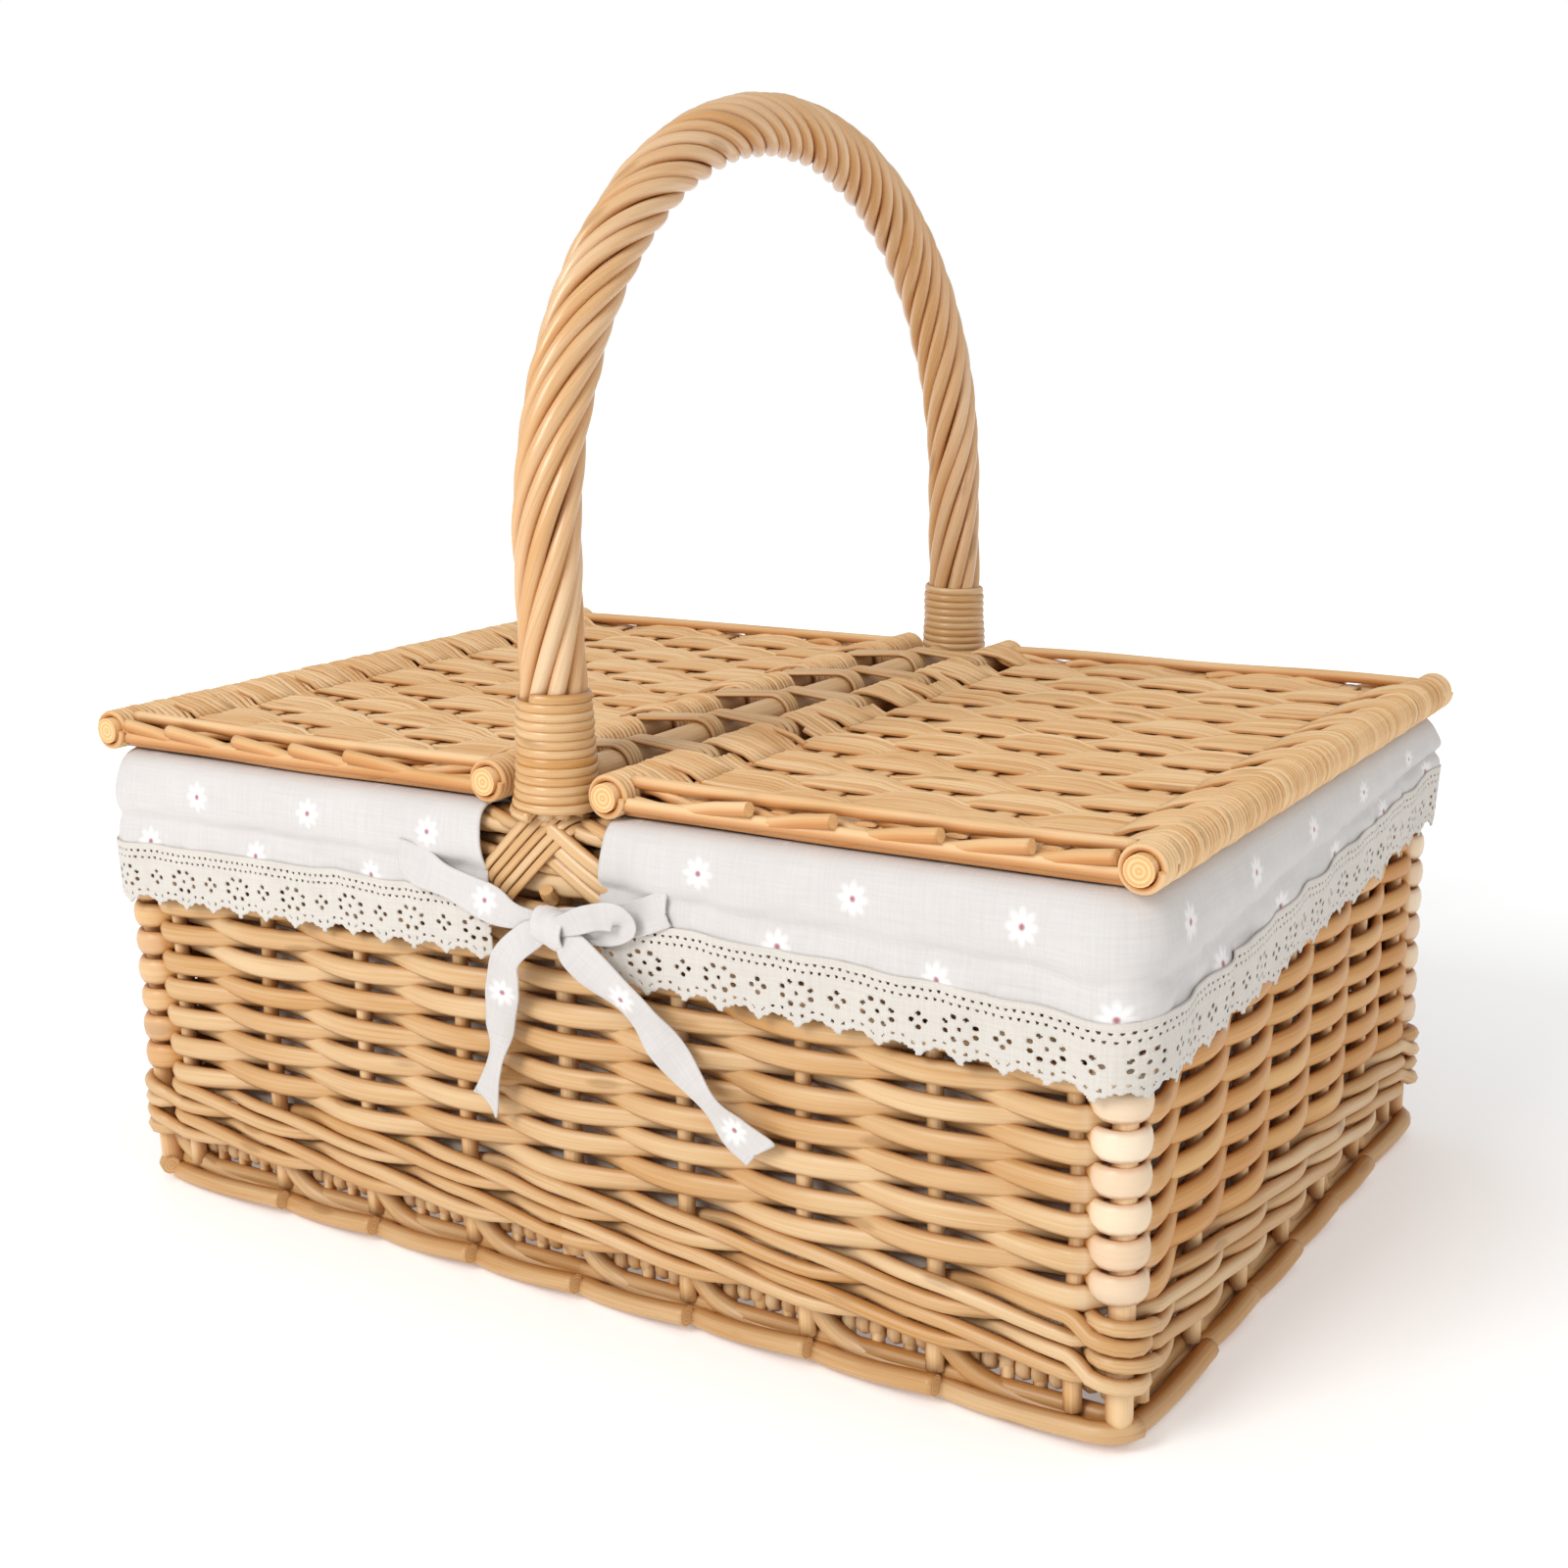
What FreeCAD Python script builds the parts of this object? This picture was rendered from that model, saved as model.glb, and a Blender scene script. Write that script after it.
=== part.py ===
"""A rectangular willow sewing basket with two hinged lids, an arched handle and a cloth liner.

Frame: millimetres, +X along the basket's length, +Y towards its back, +Z up.
The origin is on the ground, under the middle of the basket.
"""
import FreeCAD, Part
import Sketcher
import math
import os

V = FreeCAD.Vector
doc = FreeCAD.newDocument("sewing_basket")

# ---------------------------------------------------------------- driving sizes
SIZES = [
    ("basket_length", 388), ("basket_width", 276), ("wall_thickness", 13), ("corner_radius", 8),
    ("foot_height", 9), ("foot_width", 12), ("seat_gap", 0.3),
    ("base_thickness", 10), ("base_stick_diameter", 6), ("waling_height", 22),
    ("weave_height", 101), ("top_waling_height", 9), ("rim_height", 9),
    ("stake_diameter", 5), ("post_diameter", 8), ("corner_stake_offset", 14), ("stake_clearance", 0.15),
    ("handle_height", 380), ("handle_diameter", 21), ("handle_core_diameter", 9), ("core_depth", 110),
    ("collar_height", 39), ("collar_top_diameter", 24), ("collar_foot_diameter", 26),
    ("hinge_bar_diameter", 12), ("hinge_offset", 23), ("hinge_clearance", 0.08),
    ("loop_width", 9), ("loop_thickness", 1.6), ("loop_side_gap", 1),
    ("lid_end_overhang", 6), ("lid_edge_overhang", 1), ("lid_roll_diameter", 14),
    ("lid_rod_diameter", 9), ("lid_sheet_thickness", 9), ("lid_stick_diameter", 5),
    ("lid_border_width", 12), ("cloth_thickness", 1.2), ("soft_gap", 0.3),
    ("flap_depth", 31), ("lace_depth", 22), ("flap_notch", 48), ("lace_notch", 72),
    ("tie_width", 10.5), ("left_tie_reach", 55), ("right_tie_reach", 42), ("knot_offset", 8),
    ("left_tail_length", 64), ("right_tail_length", 84),
    ("knot_width", 22), ("knot_height", 14), ("knot_thickness", 8),
    ("lashing_width", 11), ("lashing_thickness", 2.4),
]
BASE_STICKS = 7
LONG_BAYS = 4
SHORT_BAYS = 3
LID_STICKS = 5
LOOPS_PER_LID = 5
LEFT_TAIL_LEAN = 22
RIGHT_TAIL_LEAN = -50
LASHING_LEAN = 40
LASHING_STRETCH = 1.5

sizes = doc.addObject("Spreadsheet::Sheet", "Sizes")
for row, (alias, number) in enumerate(SIZES, start=1):
    sizes.set(f"A{row}", alias)
    sizes.set(f"B{row}", str(number))
    sizes.setAlias(f"B{row}", alias)
doc.recompute()


def expand(text):
    """Write each size's alias in an expression with its sheet's name in front."""
    for alias in sorted((name for name, number in SIZES), key=len, reverse=True):
        text = text.replace(f"#{alias}", f"Sizes.{alias}")
    return text


def value(text):
    """Evaluate an expression of the sheet's sizes."""
    return float(sizes.evalExpression(expand(text)))


# Places that several pieces share, as expressions of the sizes.
WALL_X = "((#basket_length - #wall_thickness) / 2)"
WALL_Y = "((#basket_width - #wall_thickness) / 2)"
INSIDE_X = "(#basket_length / 2 - #wall_thickness)"
INSIDE_Y = "(#basket_width / 2 - #wall_thickness)"
BASE_Z = "(#foot_height + #seat_gap)"
WALING_Z = "(#foot_height + #seat_gap + #base_thickness + #seat_gap)"
WEAVE_Z = f"({WALING_Z} + #waling_height)"
TOP_WALING_Z = f"({WEAVE_Z} + #weave_height)"
RIM_Z = f"({TOP_WALING_Z} + #top_waling_height)"
RIM_TOP = f"({RIM_Z} + #rim_height)"
CLOTH_TOP = f"({RIM_TOP} + #soft_gap + #cloth_thickness)"
LID_Z = f"({CLOTH_TOP} + #soft_gap + #lid_roll_diameter / 2)"
LID_END_X = "(#basket_length / 2 + #lid_end_overhang - #lid_roll_diameter / 2)"
LID_EDGE_Y = "(#basket_width / 2 + #lid_edge_overhang)"
LID_INNER_EDGE_Y = f"({LID_EDGE_Y} - #lid_border_width)"
STICK_REACH = f"({LID_EDGE_Y} - #lid_border_width / 2)"
HANDLE_CENTRE_Z = f"(#handle_height - #handle_diameter / 2 - {WALL_Y})"
BAR_REACH = f"({WALL_Y} - #collar_foot_diameter / 2 - #seat_gap)"
CLOTH_FACE_X = "(#basket_length / 2 + #soft_gap)"
CLOTH_FACE_Y = "(#basket_width / 2 + #soft_gap)"


# ---------------------------------------------------------------- helpers
def bind(item, **properties):
    """Bind properties of a document object to expressions of the sizes."""
    for name, text in properties.items():
        item.setExpression(name, expand(text))
    return item


def place(item, x="0", y="0", z="0"):
    """Bind an object's position to expressions of the sizes."""
    for axis, text in zip("xyz", (x, y, z)):
        item.setExpression(f"Placement.Base.{axis}", expand(text))
    return item


def box(name, x_from, x_to, y_from, y_to, z_from, z_to):
    """A block between six expressions."""
    item = doc.addObject("Part::Box", name)
    bind(item, Length=f"({x_to}) - ({x_from})", Width=f"({y_to}) - ({y_from})",
         Height=f"({z_to}) - ({z_from})")
    return place(item, x_from, y_from, z_from)


def rod(name, diameter, length, x="0", y="0", z="0", along="z"):
    """A round rod that starts at a point and runs along one axis."""
    item = doc.addObject("Part::Cylinder", name)
    turns = {"x": (V(0, 1, 0), 90), "y": (V(1, 0, 0), -90), "z": (V(0, 0, 1), 0)}
    item.Placement = FreeCAD.Placement(V(), FreeCAD.Rotation(*turns[along]))
    bind(item, Radius=f"({diameter}) / 2", Height=length)
    return place(item, x, y, z)


def group(name, items):
    item = doc.addObject("Part::Compound", name)
    item.Links = items
    return item


def fuse(name, items):
    item = doc.addObject("Part::MultiFuse", name)
    item.Shapes = items
    return item


def cut(name, base, tool):
    item = doc.addObject("Part::Cut", name)
    item.Base = base
    item.Tool = tool
    return item


def new_body(name):
    return doc.addObject("PartDesign::Body", name)


def origin_plane(body, role):
    return next(item for item in body.Origin.OriginFeatures if item.Role == role)


def new_sketch(body, name, role, offset="0"):
    """A sketch on one of a body's origin planes, lifted by an offset along the plane's normal."""
    sketch = body.newObject("Sketcher::SketchObject", name)
    sketch.AttachmentSupport = [(origin_plane(body, role), "")]
    sketch.MapMode = "FlatFace"
    sketch.setExpression("AttachmentOffset.Base.z", expand(offset))
    return sketch


def drive(sketch, label, constraint, text):
    """Add a named dimension to a sketch and bind it to an expression of the sizes."""
    index = sketch.addConstraint(constraint)
    sketch.renameConstraint(index, label)
    sketch.setExpression(f"Constraints.{label}", expand(text))


def add_rounded_rectangle(sketch, label, half_x, half_y, radius):
    """Add a centred rectangle with round corners: four arcs, four tangent lines, sized by constraints."""
    hx, hy, r = value(half_x), value(half_y), value(radius)
    first = sketch.GeometryCount
    corners = [(hx - r, hy - r, 0), (r - hx, hy - r, 90), (r - hx, r - hy, 180), (hx - r, r - hy, 270)]
    for x, y, start in corners:
        circle = Part.Circle(V(x, y, 0), V(0, 0, 1), r)
        sketch.addGeometry(Part.ArcOfCircle(circle, math.radians(start), math.radians(start + 90)))
    ends = [((hx - r, hy), (r - hx, hy)), ((-hx, hy - r), (-hx, r - hy)),
            ((r - hx, -hy), (hx - r, -hy)), ((hx, r - hy), (hx, hy - r))]
    for (x1, y1), (x2, y2) in ends:
        sketch.addGeometry(Part.LineSegment(V(x1, y1, 0), V(x2, y2, 0)))
    for side in range(4):
        arc, line, after = first + side, first + 4 + side, first + (side + 1) % 4
        sketch.addConstraint(Sketcher.Constraint("Tangent", arc, 2, line, 1))
        sketch.addConstraint(Sketcher.Constraint("Tangent", line, 2, after, 1))
    for side in range(1, 4):
        sketch.addConstraint(Sketcher.Constraint("Equal", first, first + side))
    sketch.addConstraint(Sketcher.Constraint("Horizontal", first + 4))
    sketch.addConstraint(Sketcher.Constraint("Symmetric", first, 3, first + 2, 3, -1, 1))
    span_x = Sketcher.Constraint("DistanceX", first + 1, 3, first, 3, 2 * (hx - r))
    span_y = Sketcher.Constraint("DistanceY", first + 2, 3, first + 1, 3, 2 * (hy - r))
    drive(sketch, f"{label}_radius", Sketcher.Constraint("Radius", first, r), radius)
    drive(sketch, f"{label}_span_x", span_x, f"2 * ({half_x} - ({radius}))")
    drive(sketch, f"{label}_span_y", span_y, f"2 * ({half_y} - ({radius}))")


def add_pad(body, sketch, name, length):
    pad = body.newObject("PartDesign::Pad", name)
    pad.Profile = sketch
    return bind(pad, Length=length)


def ring(name, width, z_from, height):
    """A band that runs round the basket on the wall's middle line."""
    body = new_body(name)
    sketch = new_sketch(body, name + "_outline", "XY_Plane", z_from)
    for label, sign, radius in (("outer", "+", "#corner_radius"), ("inner", "-", "#corner_radius / 4")):
        half_x, half_y = f"({WALL_X} {sign} {width} / 2)", f"({WALL_Y} {sign} {width} / 2)"
        add_rounded_rectangle(sketch, label, half_x, half_y, radius)
    add_pad(body, sketch, name + "_pad", height)
    return body


# ---------------------------------------------------------------- stakes and their holes
def stake_places():
    """Each wall's stakes as (wall, x, y): equal bays, with the last stake beside the corner post."""
    places = []
    long_pitch = f"(({WALL_X} - #corner_stake_offset) / {LONG_BAYS})"
    short_pitch = f"(({WALL_Y} - #corner_stake_offset) / {SHORT_BAYS})"
    for wall, sign in (("front", -1), ("back", 1)):
        for step in range(-LONG_BAYS, LONG_BAYS + 1):
            if step != 0:
                places.append((wall, f"{step} * {long_pitch}", f"{sign} * {WALL_Y}"))
    for wall, sign in (("left", -1), ("right", 1)):
        for step in range(-SHORT_BAYS, SHORT_BAYS + 1):
            places.append((wall, f"{sign} * {WALL_X}", f"{step} * {short_pitch}"))
    return places


def corner_places():
    return [(f"{sx} * {WALL_X}", f"{sy} * {WALL_Y}") for sx in (-1, 1) for sy in (-1, 1)]


def make_stakes():
    """Stakes for each wall, four corner posts, and the holes that the wale and weave leave round them."""
    length = f"{RIM_Z} - #foot_height"
    nodes = {}
    for wall in ("front", "back", "left", "right"):
        rods = [rod(f"{wall}_stake", "#stake_diameter", length, x, y, "#foot_height")
                for name, x, y in stake_places() if name == wall]
        nodes[f"{wall}_stakes"] = group(f"{wall}_stakes", rods)
    posts = [rod("corner_post", "#post_diameter", length, x, y, "#foot_height")
             for x, y in corner_places()]
    nodes["corner_posts"] = group("corner_posts", posts)
    hole = "#stake_diameter + 2 * #stake_clearance"
    post_hole = "#post_diameter + 2 * #stake_clearance"
    core_hole = "#handle_core_diameter + 2 * #stake_clearance"
    holes = [rod("stake_hole", hole, length, x, y, "#foot_height") for name, x, y in stake_places()]
    holes += [rod("post_hole", post_hole, length, x, y, "#foot_height") for x, y in corner_places()]
    core_foot = f"{RIM_TOP} - #core_depth"
    core_length = "#core_depth + #rim_height"
    holes += [rod("core_hole", core_hole, core_length, "0", f"{sign} * {WALL_Y}", core_foot)
              for sign in (-1, 1)]
    return nodes, holes


def make_holes(holes, name):
    """A fresh group of copies of the hole rods, because each cut owns its tool."""
    return group(name, [doc.copyObject(hole, False) for hole in holes])


# ---------------------------------------------------------------- base and walls
def make_base():
    """The woven base on its lengthwise sticks, standing on the plaited foot border."""
    foot = ring("foot_border", "#foot_width", "0", "#foot_height")
    slab = new_body("base_slab")
    sketch = new_sketch(slab, "base_outline", "XY_Plane", BASE_Z)
    edge = "(#stake_diameter / 2 + #seat_gap)"
    radius = "(#post_diameter + 2 * #seat_gap)"
    add_rounded_rectangle(sketch, "base", f"({WALL_X} - {edge})", f"({WALL_Y} - {edge})", radius)
    add_pad(slab, sketch, "base_pad", "#base_thickness")
    stick_z = f"{BASE_Z} + #base_thickness / 2"
    half = f"({WALL_X} - 2 * #post_diameter)"
    spacing = f"(2 * {INSIDE_Y} / {BASE_STICKS})"
    rows = [f"{step - (BASE_STICKS - 1) / 2} * {spacing}" for step in range(BASE_STICKS)]
    sticks = [rod("base_stick", "#base_stick_diameter", f"2 * {half}", f"-{half}", y, stick_z, "x")
              for y in rows]
    hole = "#base_stick_diameter + 2 * #stake_clearance"
    hole_half = f"({half} + #seat_gap)"
    holes = [rod("base_stick_hole", hole, f"2 * {hole_half}", f"-{hole_half}", y, stick_z, "x")
             for y in rows]
    return {
        "foot_border": foot,
        "base_sticks": group("base_sticks", sticks),
        "base_weave": cut("base_weave", slab, group("base_stick_holes", holes)),
    }


def make_walls(holes):
    """The wale at the foot, four woven walls between the corner posts, the top wale and the rim."""
    top = f"{TOP_WALING_Z} - #seat_gap"
    start = f"{WEAVE_Z} + #seat_gap"
    end_y = f"({WALL_Y} - #post_diameter / 2 - #seat_gap)"
    end_x = f"({INSIDE_X} - #seat_gap)"
    panels = {
        "front": (f"-{end_x}", end_x, "-#basket_width / 2", f"-{INSIDE_Y}"),
        "back": (f"-{end_x}", end_x, INSIDE_Y, "#basket_width / 2"),
        "left": ("-#basket_length / 2", f"-{INSIDE_X}", f"-{end_y}", end_y),
        "right": (INSIDE_X, "#basket_length / 2", f"-{end_y}", end_y),
    }
    nodes = {}
    for wall, (x1, x2, y1, y2) in panels.items():
        block = box(f"{wall}_block", x1, x2, y1, y2, start, top)
        nodes[f"{wall}_weave"] = cut(f"{wall}_weave", block, make_holes(holes, f"{wall}_holes"))
    wale = ring("bottom_waling_band", "#wall_thickness", WALING_Z, "#waling_height")
    nodes["bottom_waling"] = cut("bottom_waling", wale, make_holes(holes, "bottom_waling_holes"))
    top_wale = ring("top_waling_band", "#wall_thickness", TOP_WALING_Z, "#top_waling_height - #seat_gap")
    nodes["top_waling"] = cut("top_waling", top_wale, make_holes(holes, "top_waling_holes"))
    rim = ring("rim_band", "#wall_thickness", RIM_Z, "#rim_height")
    nodes["rim_border"] = cut("rim_border", rim, make_holes(holes[-2:], "rim_holes"))
    return nodes


# ---------------------------------------------------------------- handle
def handle_sweep(name, foot_z, diameters):
    """Sweep one circle, or two for a hollow rope, up one leg, round the arch and down the other."""
    radius, centre_z, foot = value(WALL_Y), value(HANDLE_CENTRE_Z), value(foot_z)
    body = new_body(name)
    path = new_sketch(body, name + "_path", "YZ_Plane")
    path.addGeometry(Part.LineSegment(V(-radius, foot, 0), V(-radius, centre_z, 0)))
    arch = Part.Circle(V(0, centre_z, 0), V(0, 0, 1), radius)
    path.addGeometry(Part.ArcOfCircle(arch, 0, math.pi))
    path.addGeometry(Part.LineSegment(V(radius, centre_z, 0), V(radius, foot, 0)))
    path.addConstraint(Sketcher.Constraint("Tangent", 0, 2, 1, 2))
    path.addConstraint(Sketcher.Constraint("Tangent", 1, 1, 2, 1))
    path.addConstraint(Sketcher.Constraint("Vertical", 0))
    path.addConstraint(Sketcher.Constraint("Vertical", 2))
    path.addConstraint(Sketcher.Constraint("PointOnObject", 1, 3, -2))
    path.addConstraint(Sketcher.Constraint("Horizontal", 0, 1, 2, 2))
    drive(path, "arch_radius", Sketcher.Constraint("Radius", 1, radius), WALL_Y)
    rise = Sketcher.Constraint("DistanceY", -1, 1, 1, 3, centre_z)
    drive(path, "arch_height", rise, HANDLE_CENTRE_Z)
    drive(path, "foot", Sketcher.Constraint("DistanceY", -1, 1, 0, 1, foot), foot_z)
    section = new_sketch(body, name + "_section", "XY_Plane", foot_z)
    for number, diameter in enumerate(diameters):
        section.addGeometry(Part.Circle(V(0, -radius, 0), V(0, 0, 1), value(diameter) / 2))
        section.addConstraint(Sketcher.Constraint("PointOnObject", number, 3, -2))
        size = Sketcher.Constraint("Diameter", number, value(diameter))
        leg = Sketcher.Constraint("DistanceY", number, 3, -1, 1, radius)
        drive(section, f"size_{number}", size, diameter)
        drive(section, f"leg_{number}", leg, WALL_Y)
    sweep = body.newObject("PartDesign::AdditivePipe", name + "_sweep")
    sweep.Profile = section
    sweep.Spine = (path, ["Edge1", "Edge2", "Edge3"])
    sweep.Transition = "Transformed"
    return body


def collar(name, sign):
    """The cane binding round a foot of the handle, wider where it stands on the rim."""
    skin = doc.addObject("Part::Cone", name + "_cone")
    bind(skin, Radius1="#collar_foot_diameter / 2", Radius2="#collar_top_diameter / 2",
         Height="#collar_height")
    place(skin, "0", f"{sign} * {WALL_Y}", RIM_TOP)
    core = rod(name + "_bore", "#handle_diameter + 2 * #stake_clearance", "#collar_height", "0",
               f"{sign} * {WALL_Y}", RIM_TOP)
    return cut(name, skin, core)


def lashing(name, sign):
    """Two crossed cane bands on the wall's outside, from the collar's foot down over the rim and wale."""
    bands = []
    height = "(#rim_height + #top_waling_height + #lashing_width)"
    half_band = f"({height} * {LASHING_STRETCH} / 2)"
    outside = "(#basket_width / 2 + #soft_gap)"
    y = outside if sign > 0 else f"-{outside} - #lashing_thickness"
    for turn in (-LASHING_LEAN, LASHING_LEAN):
        band = doc.addObject("Part::Box", name + "_band")
        bind(band, Length="#lashing_width", Width="#lashing_thickness", Height=f"2 * {half_band}")
        band.Placement = FreeCAD.Placement(V(), FreeCAD.Rotation(V(0, 1, 0), turn))
        across, along = math.cos(math.radians(turn)), math.sin(math.radians(turn))
        x = f"-(#lashing_width / 2 * {across} + {half_band} * {along})"
        drop = f"(#lashing_width / 2 * {along} - {half_band} * {across})"
        place(band, x, y, f"{RIM_TOP} - {height} / 2 + {drop}")
        bands.append(band)
    trim = box(name + "_room", "-#flap_notch / 2", "#flap_notch / 2", "-#basket_width", "#basket_width",
               f"{RIM_TOP} - {height}", RIM_TOP)
    cross = fuse(name + "_cross", bands)
    item = doc.addObject("Part::Common", name)
    item.Base = cross
    item.Tool = trim
    return item


def make_handle():
    nodes = {
        "handle_core": handle_sweep("handle_core", f"({RIM_TOP} - #core_depth)", ["#handle_core_diameter"]),
        "handle_wrap": handle_sweep("handle_wrap", RIM_TOP,
                                    ["#handle_diameter", "#handle_core_diameter + 2 * #stake_clearance"]),
    }
    for end, sign in (("front", -1), ("back", 1)):
        nodes[f"{end}_collar"] = collar(f"{end}_collar", sign)
        nodes[f"{end}_lashing"] = lashing(f"{end}_lashing", sign)
    return nodes


# ---------------------------------------------------------------- hinge
def loop_place(number, side):
    """Where a cane loop sits in its share of the hinge bar; the two lids' loops sit side by side."""
    middle = number - (LOOPS_PER_LID - 1) / 2
    pitch = f"2 * {BAR_REACH} / {LOOPS_PER_LID}"
    return f"({middle} * {pitch} + {side} * (#loop_width + #loop_side_gap) / 2)"


def hinge_loops(name, side):
    """Oval loops that hold the hinge bar tightly and let a lid's inner rod turn."""
    rod_x = f"{side} * #hinge_offset"
    blanks = []
    for number in range(LOOPS_PER_LID):
        y = f"{loop_place(number, side)} - #loop_width / 2"
        bar_ring = rod(name + "_bar_ring", "#hinge_bar_diameter + 2 * #loop_thickness", "#loop_width",
                       "0", y, LID_Z, "y")
        rod_ring = rod(name + "_rod_ring", "#lid_rod_diameter + 2 * #loop_thickness", "#loop_width",
                       rod_x, y, LID_Z, "y")
        half = "(#lid_rod_diameter / 2 + #loop_thickness)"
        near_x, far_x = ("0", rod_x) if side > 0 else (rod_x, "0")
        web = box(name + "_web", near_x, far_x, y, f"{y} + #loop_width",
                  f"{LID_Z} - {half}", f"{LID_Z} + {half}")
        blanks.append(fuse(name + "_blank", [bar_ring, rod_ring, web]))
    span = f"2 * {LID_EDGE_Y}"
    bore = "#lid_rod_diameter + 2 * #hinge_clearance"
    tight = "#hinge_bar_diameter + 2 * #hinge_clearance"
    tools = group(name + "_bores", [
        rod(name + "_bar_bore", tight, span, "0", f"-{LID_EDGE_Y}", LID_Z, "y"),
        rod(name + "_rod_bore", bore, span, rod_x, f"-{LID_EDGE_Y}", LID_Z, "y"),
    ])
    return cut(name, group(name + "_blanks", blanks), tools)


def make_hinge():
    """The bar between the handle's feet and the loops that hang both lids on it."""
    return {
        "hinge_bar": rod("hinge_bar", "#hinge_bar_diameter", f"2 * {BAR_REACH}", "0", f"-{BAR_REACH}",
                         LID_Z, "y"),
        "left_hinge_loops": hinge_loops("left_hinge_loops", -1),
        "right_hinge_loops": hinge_loops("right_hinge_loops", 1),
    }


# ---------------------------------------------------------------- lids
def lid_stick_holes(name, places):
    """Holes for a lid's sticks, a little longer than the sticks so that their ends stay clear."""
    reach = f"({STICK_REACH} + #seat_gap)"
    return [rod(name, "#lid_stick_diameter + 2 * #stake_clearance", f"2 * {reach}", x, f"-{reach}",
                LID_Z, "y") for x in places]


def make_lid(name, side):
    """One lid: two end rods, sticks between them, the weave with its rolled ends, and two edge borders."""
    hinge_x, end_x = f"{side} * #hinge_offset", f"{side} * {LID_END_X}"
    span = f"2 * {LID_EDGE_Y}"
    start_y = f"-{LID_EDGE_Y}"
    near_x, far_x = (hinge_x, end_x) if side > 0 else (end_x, hinge_x)
    sheet_y = f"({LID_INNER_EDGE_Y} - #seat_gap)"
    sheet = box(name + "_sheet", near_x, far_x, f"-{sheet_y}", sheet_y,
                f"{LID_Z} - #lid_sheet_thickness / 2", f"{LID_Z} + #lid_sheet_thickness / 2")
    rolls = [rod(name + "_roll", "#lid_roll_diameter", span, x, start_y, LID_Z, "y")
             for x in (hinge_x, end_x)]
    pitch = f"(({LID_END_X} - #hinge_offset) / {LID_STICKS + 1})"
    places = [f"{side} * (#hinge_offset + {step} * {pitch})" for step in range(1, LID_STICKS + 1)]
    sticks = [rod(name + "_stick", "#lid_stick_diameter", f"2 * {STICK_REACH}", x, f"-{STICK_REACH}",
                  LID_Z, "y") for x in places]
    rod_holes = [rod(name + "_rod_hole", "#lid_rod_diameter + 2 * #stake_clearance", span, x, start_y,
                     LID_Z, "y") for x in (hinge_x, end_x)]
    room = "(#loop_width / 2 + #loop_side_gap)"
    reach = "(#lid_roll_diameter / 2 + #loop_side_gap)"
    notches = []
    for number in range(LOOPS_PER_LID):
        y = loop_place(number, side)
        notches.append(box(name + "_notch", f"{hinge_x} - {reach}", f"{hinge_x} + {reach}",
                           f"{y} - {room}", f"{y} + {room}", f"{LID_Z} - {reach}", f"{LID_Z} + {reach}"))
    tools = notches + lid_stick_holes(name + "_sheet_hole", places) + rod_holes
    woven = fuse(name + "_woven", [sheet] + rolls)
    nodes = {
        f"{name}_sticks": group(f"{name}_sticks", sticks),
        f"{name}_weave": cut(f"{name}_weave", woven, group(name + "_weave_tools", tools)),
    }
    for place_name, x in (("inner", hinge_x), ("outer", end_x)):
        label = f"{name}_{place_name}_rod"
        nodes[label] = rod(label, "#lid_rod_diameter", span, x, start_y, LID_Z, "y")
    gap = "(#lid_roll_diameter / 2 + #seat_gap)"
    half = "#lid_roll_diameter / 2"
    for edge, y1, y2 in (("front", f"-{LID_EDGE_Y}", f"-{LID_INNER_EDGE_Y}"),
                         ("back", LID_INNER_EDGE_Y, LID_EDGE_Y)):
        strip = box(f"{name}_{edge}_strip", f"{near_x} + {gap}", f"{far_x} - {gap}", y1, y2,
                    f"{LID_Z} - {half}", f"{LID_Z} + {half}")
        holes = group(f"{name}_{edge}_holes", lid_stick_holes(f"{name}_{edge}_hole", places))
        nodes[f"{name}_{edge}_border"] = cut(f"{name}_{edge}_border", strip, holes)
    return nodes


# ---------------------------------------------------------------- liner
def make_bag():
    """The open cloth bag that lines the base and the walls."""
    body = new_body("liner_bag")
    outer_x, outer_y = f"({INSIDE_X} - #soft_gap)", f"({INSIDE_Y} - #soft_gap)"
    floor = f"({WALING_Z} + #soft_gap)"
    sketch = new_sketch(body, "bag_outline", "XY_Plane", floor)
    add_rounded_rectangle(sketch, "bag", outer_x, outer_y, "#corner_radius")
    add_pad(body, sketch, "bag_pad", f"{RIM_TOP} - {floor}")
    room = new_sketch(body, "bag_room", "XY_Plane", RIM_TOP)
    add_rounded_rectangle(room, "room", f"({outer_x} - #cloth_thickness)", f"({outer_y} - #cloth_thickness)",
                          "(#corner_radius - #cloth_thickness)")
    pocket = body.newObject("PartDesign::Pocket", "bag_pocket")
    pocket.Profile = room
    bind(pocket, Length=f"{RIM_TOP} - {floor} - #cloth_thickness")
    return body


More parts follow.
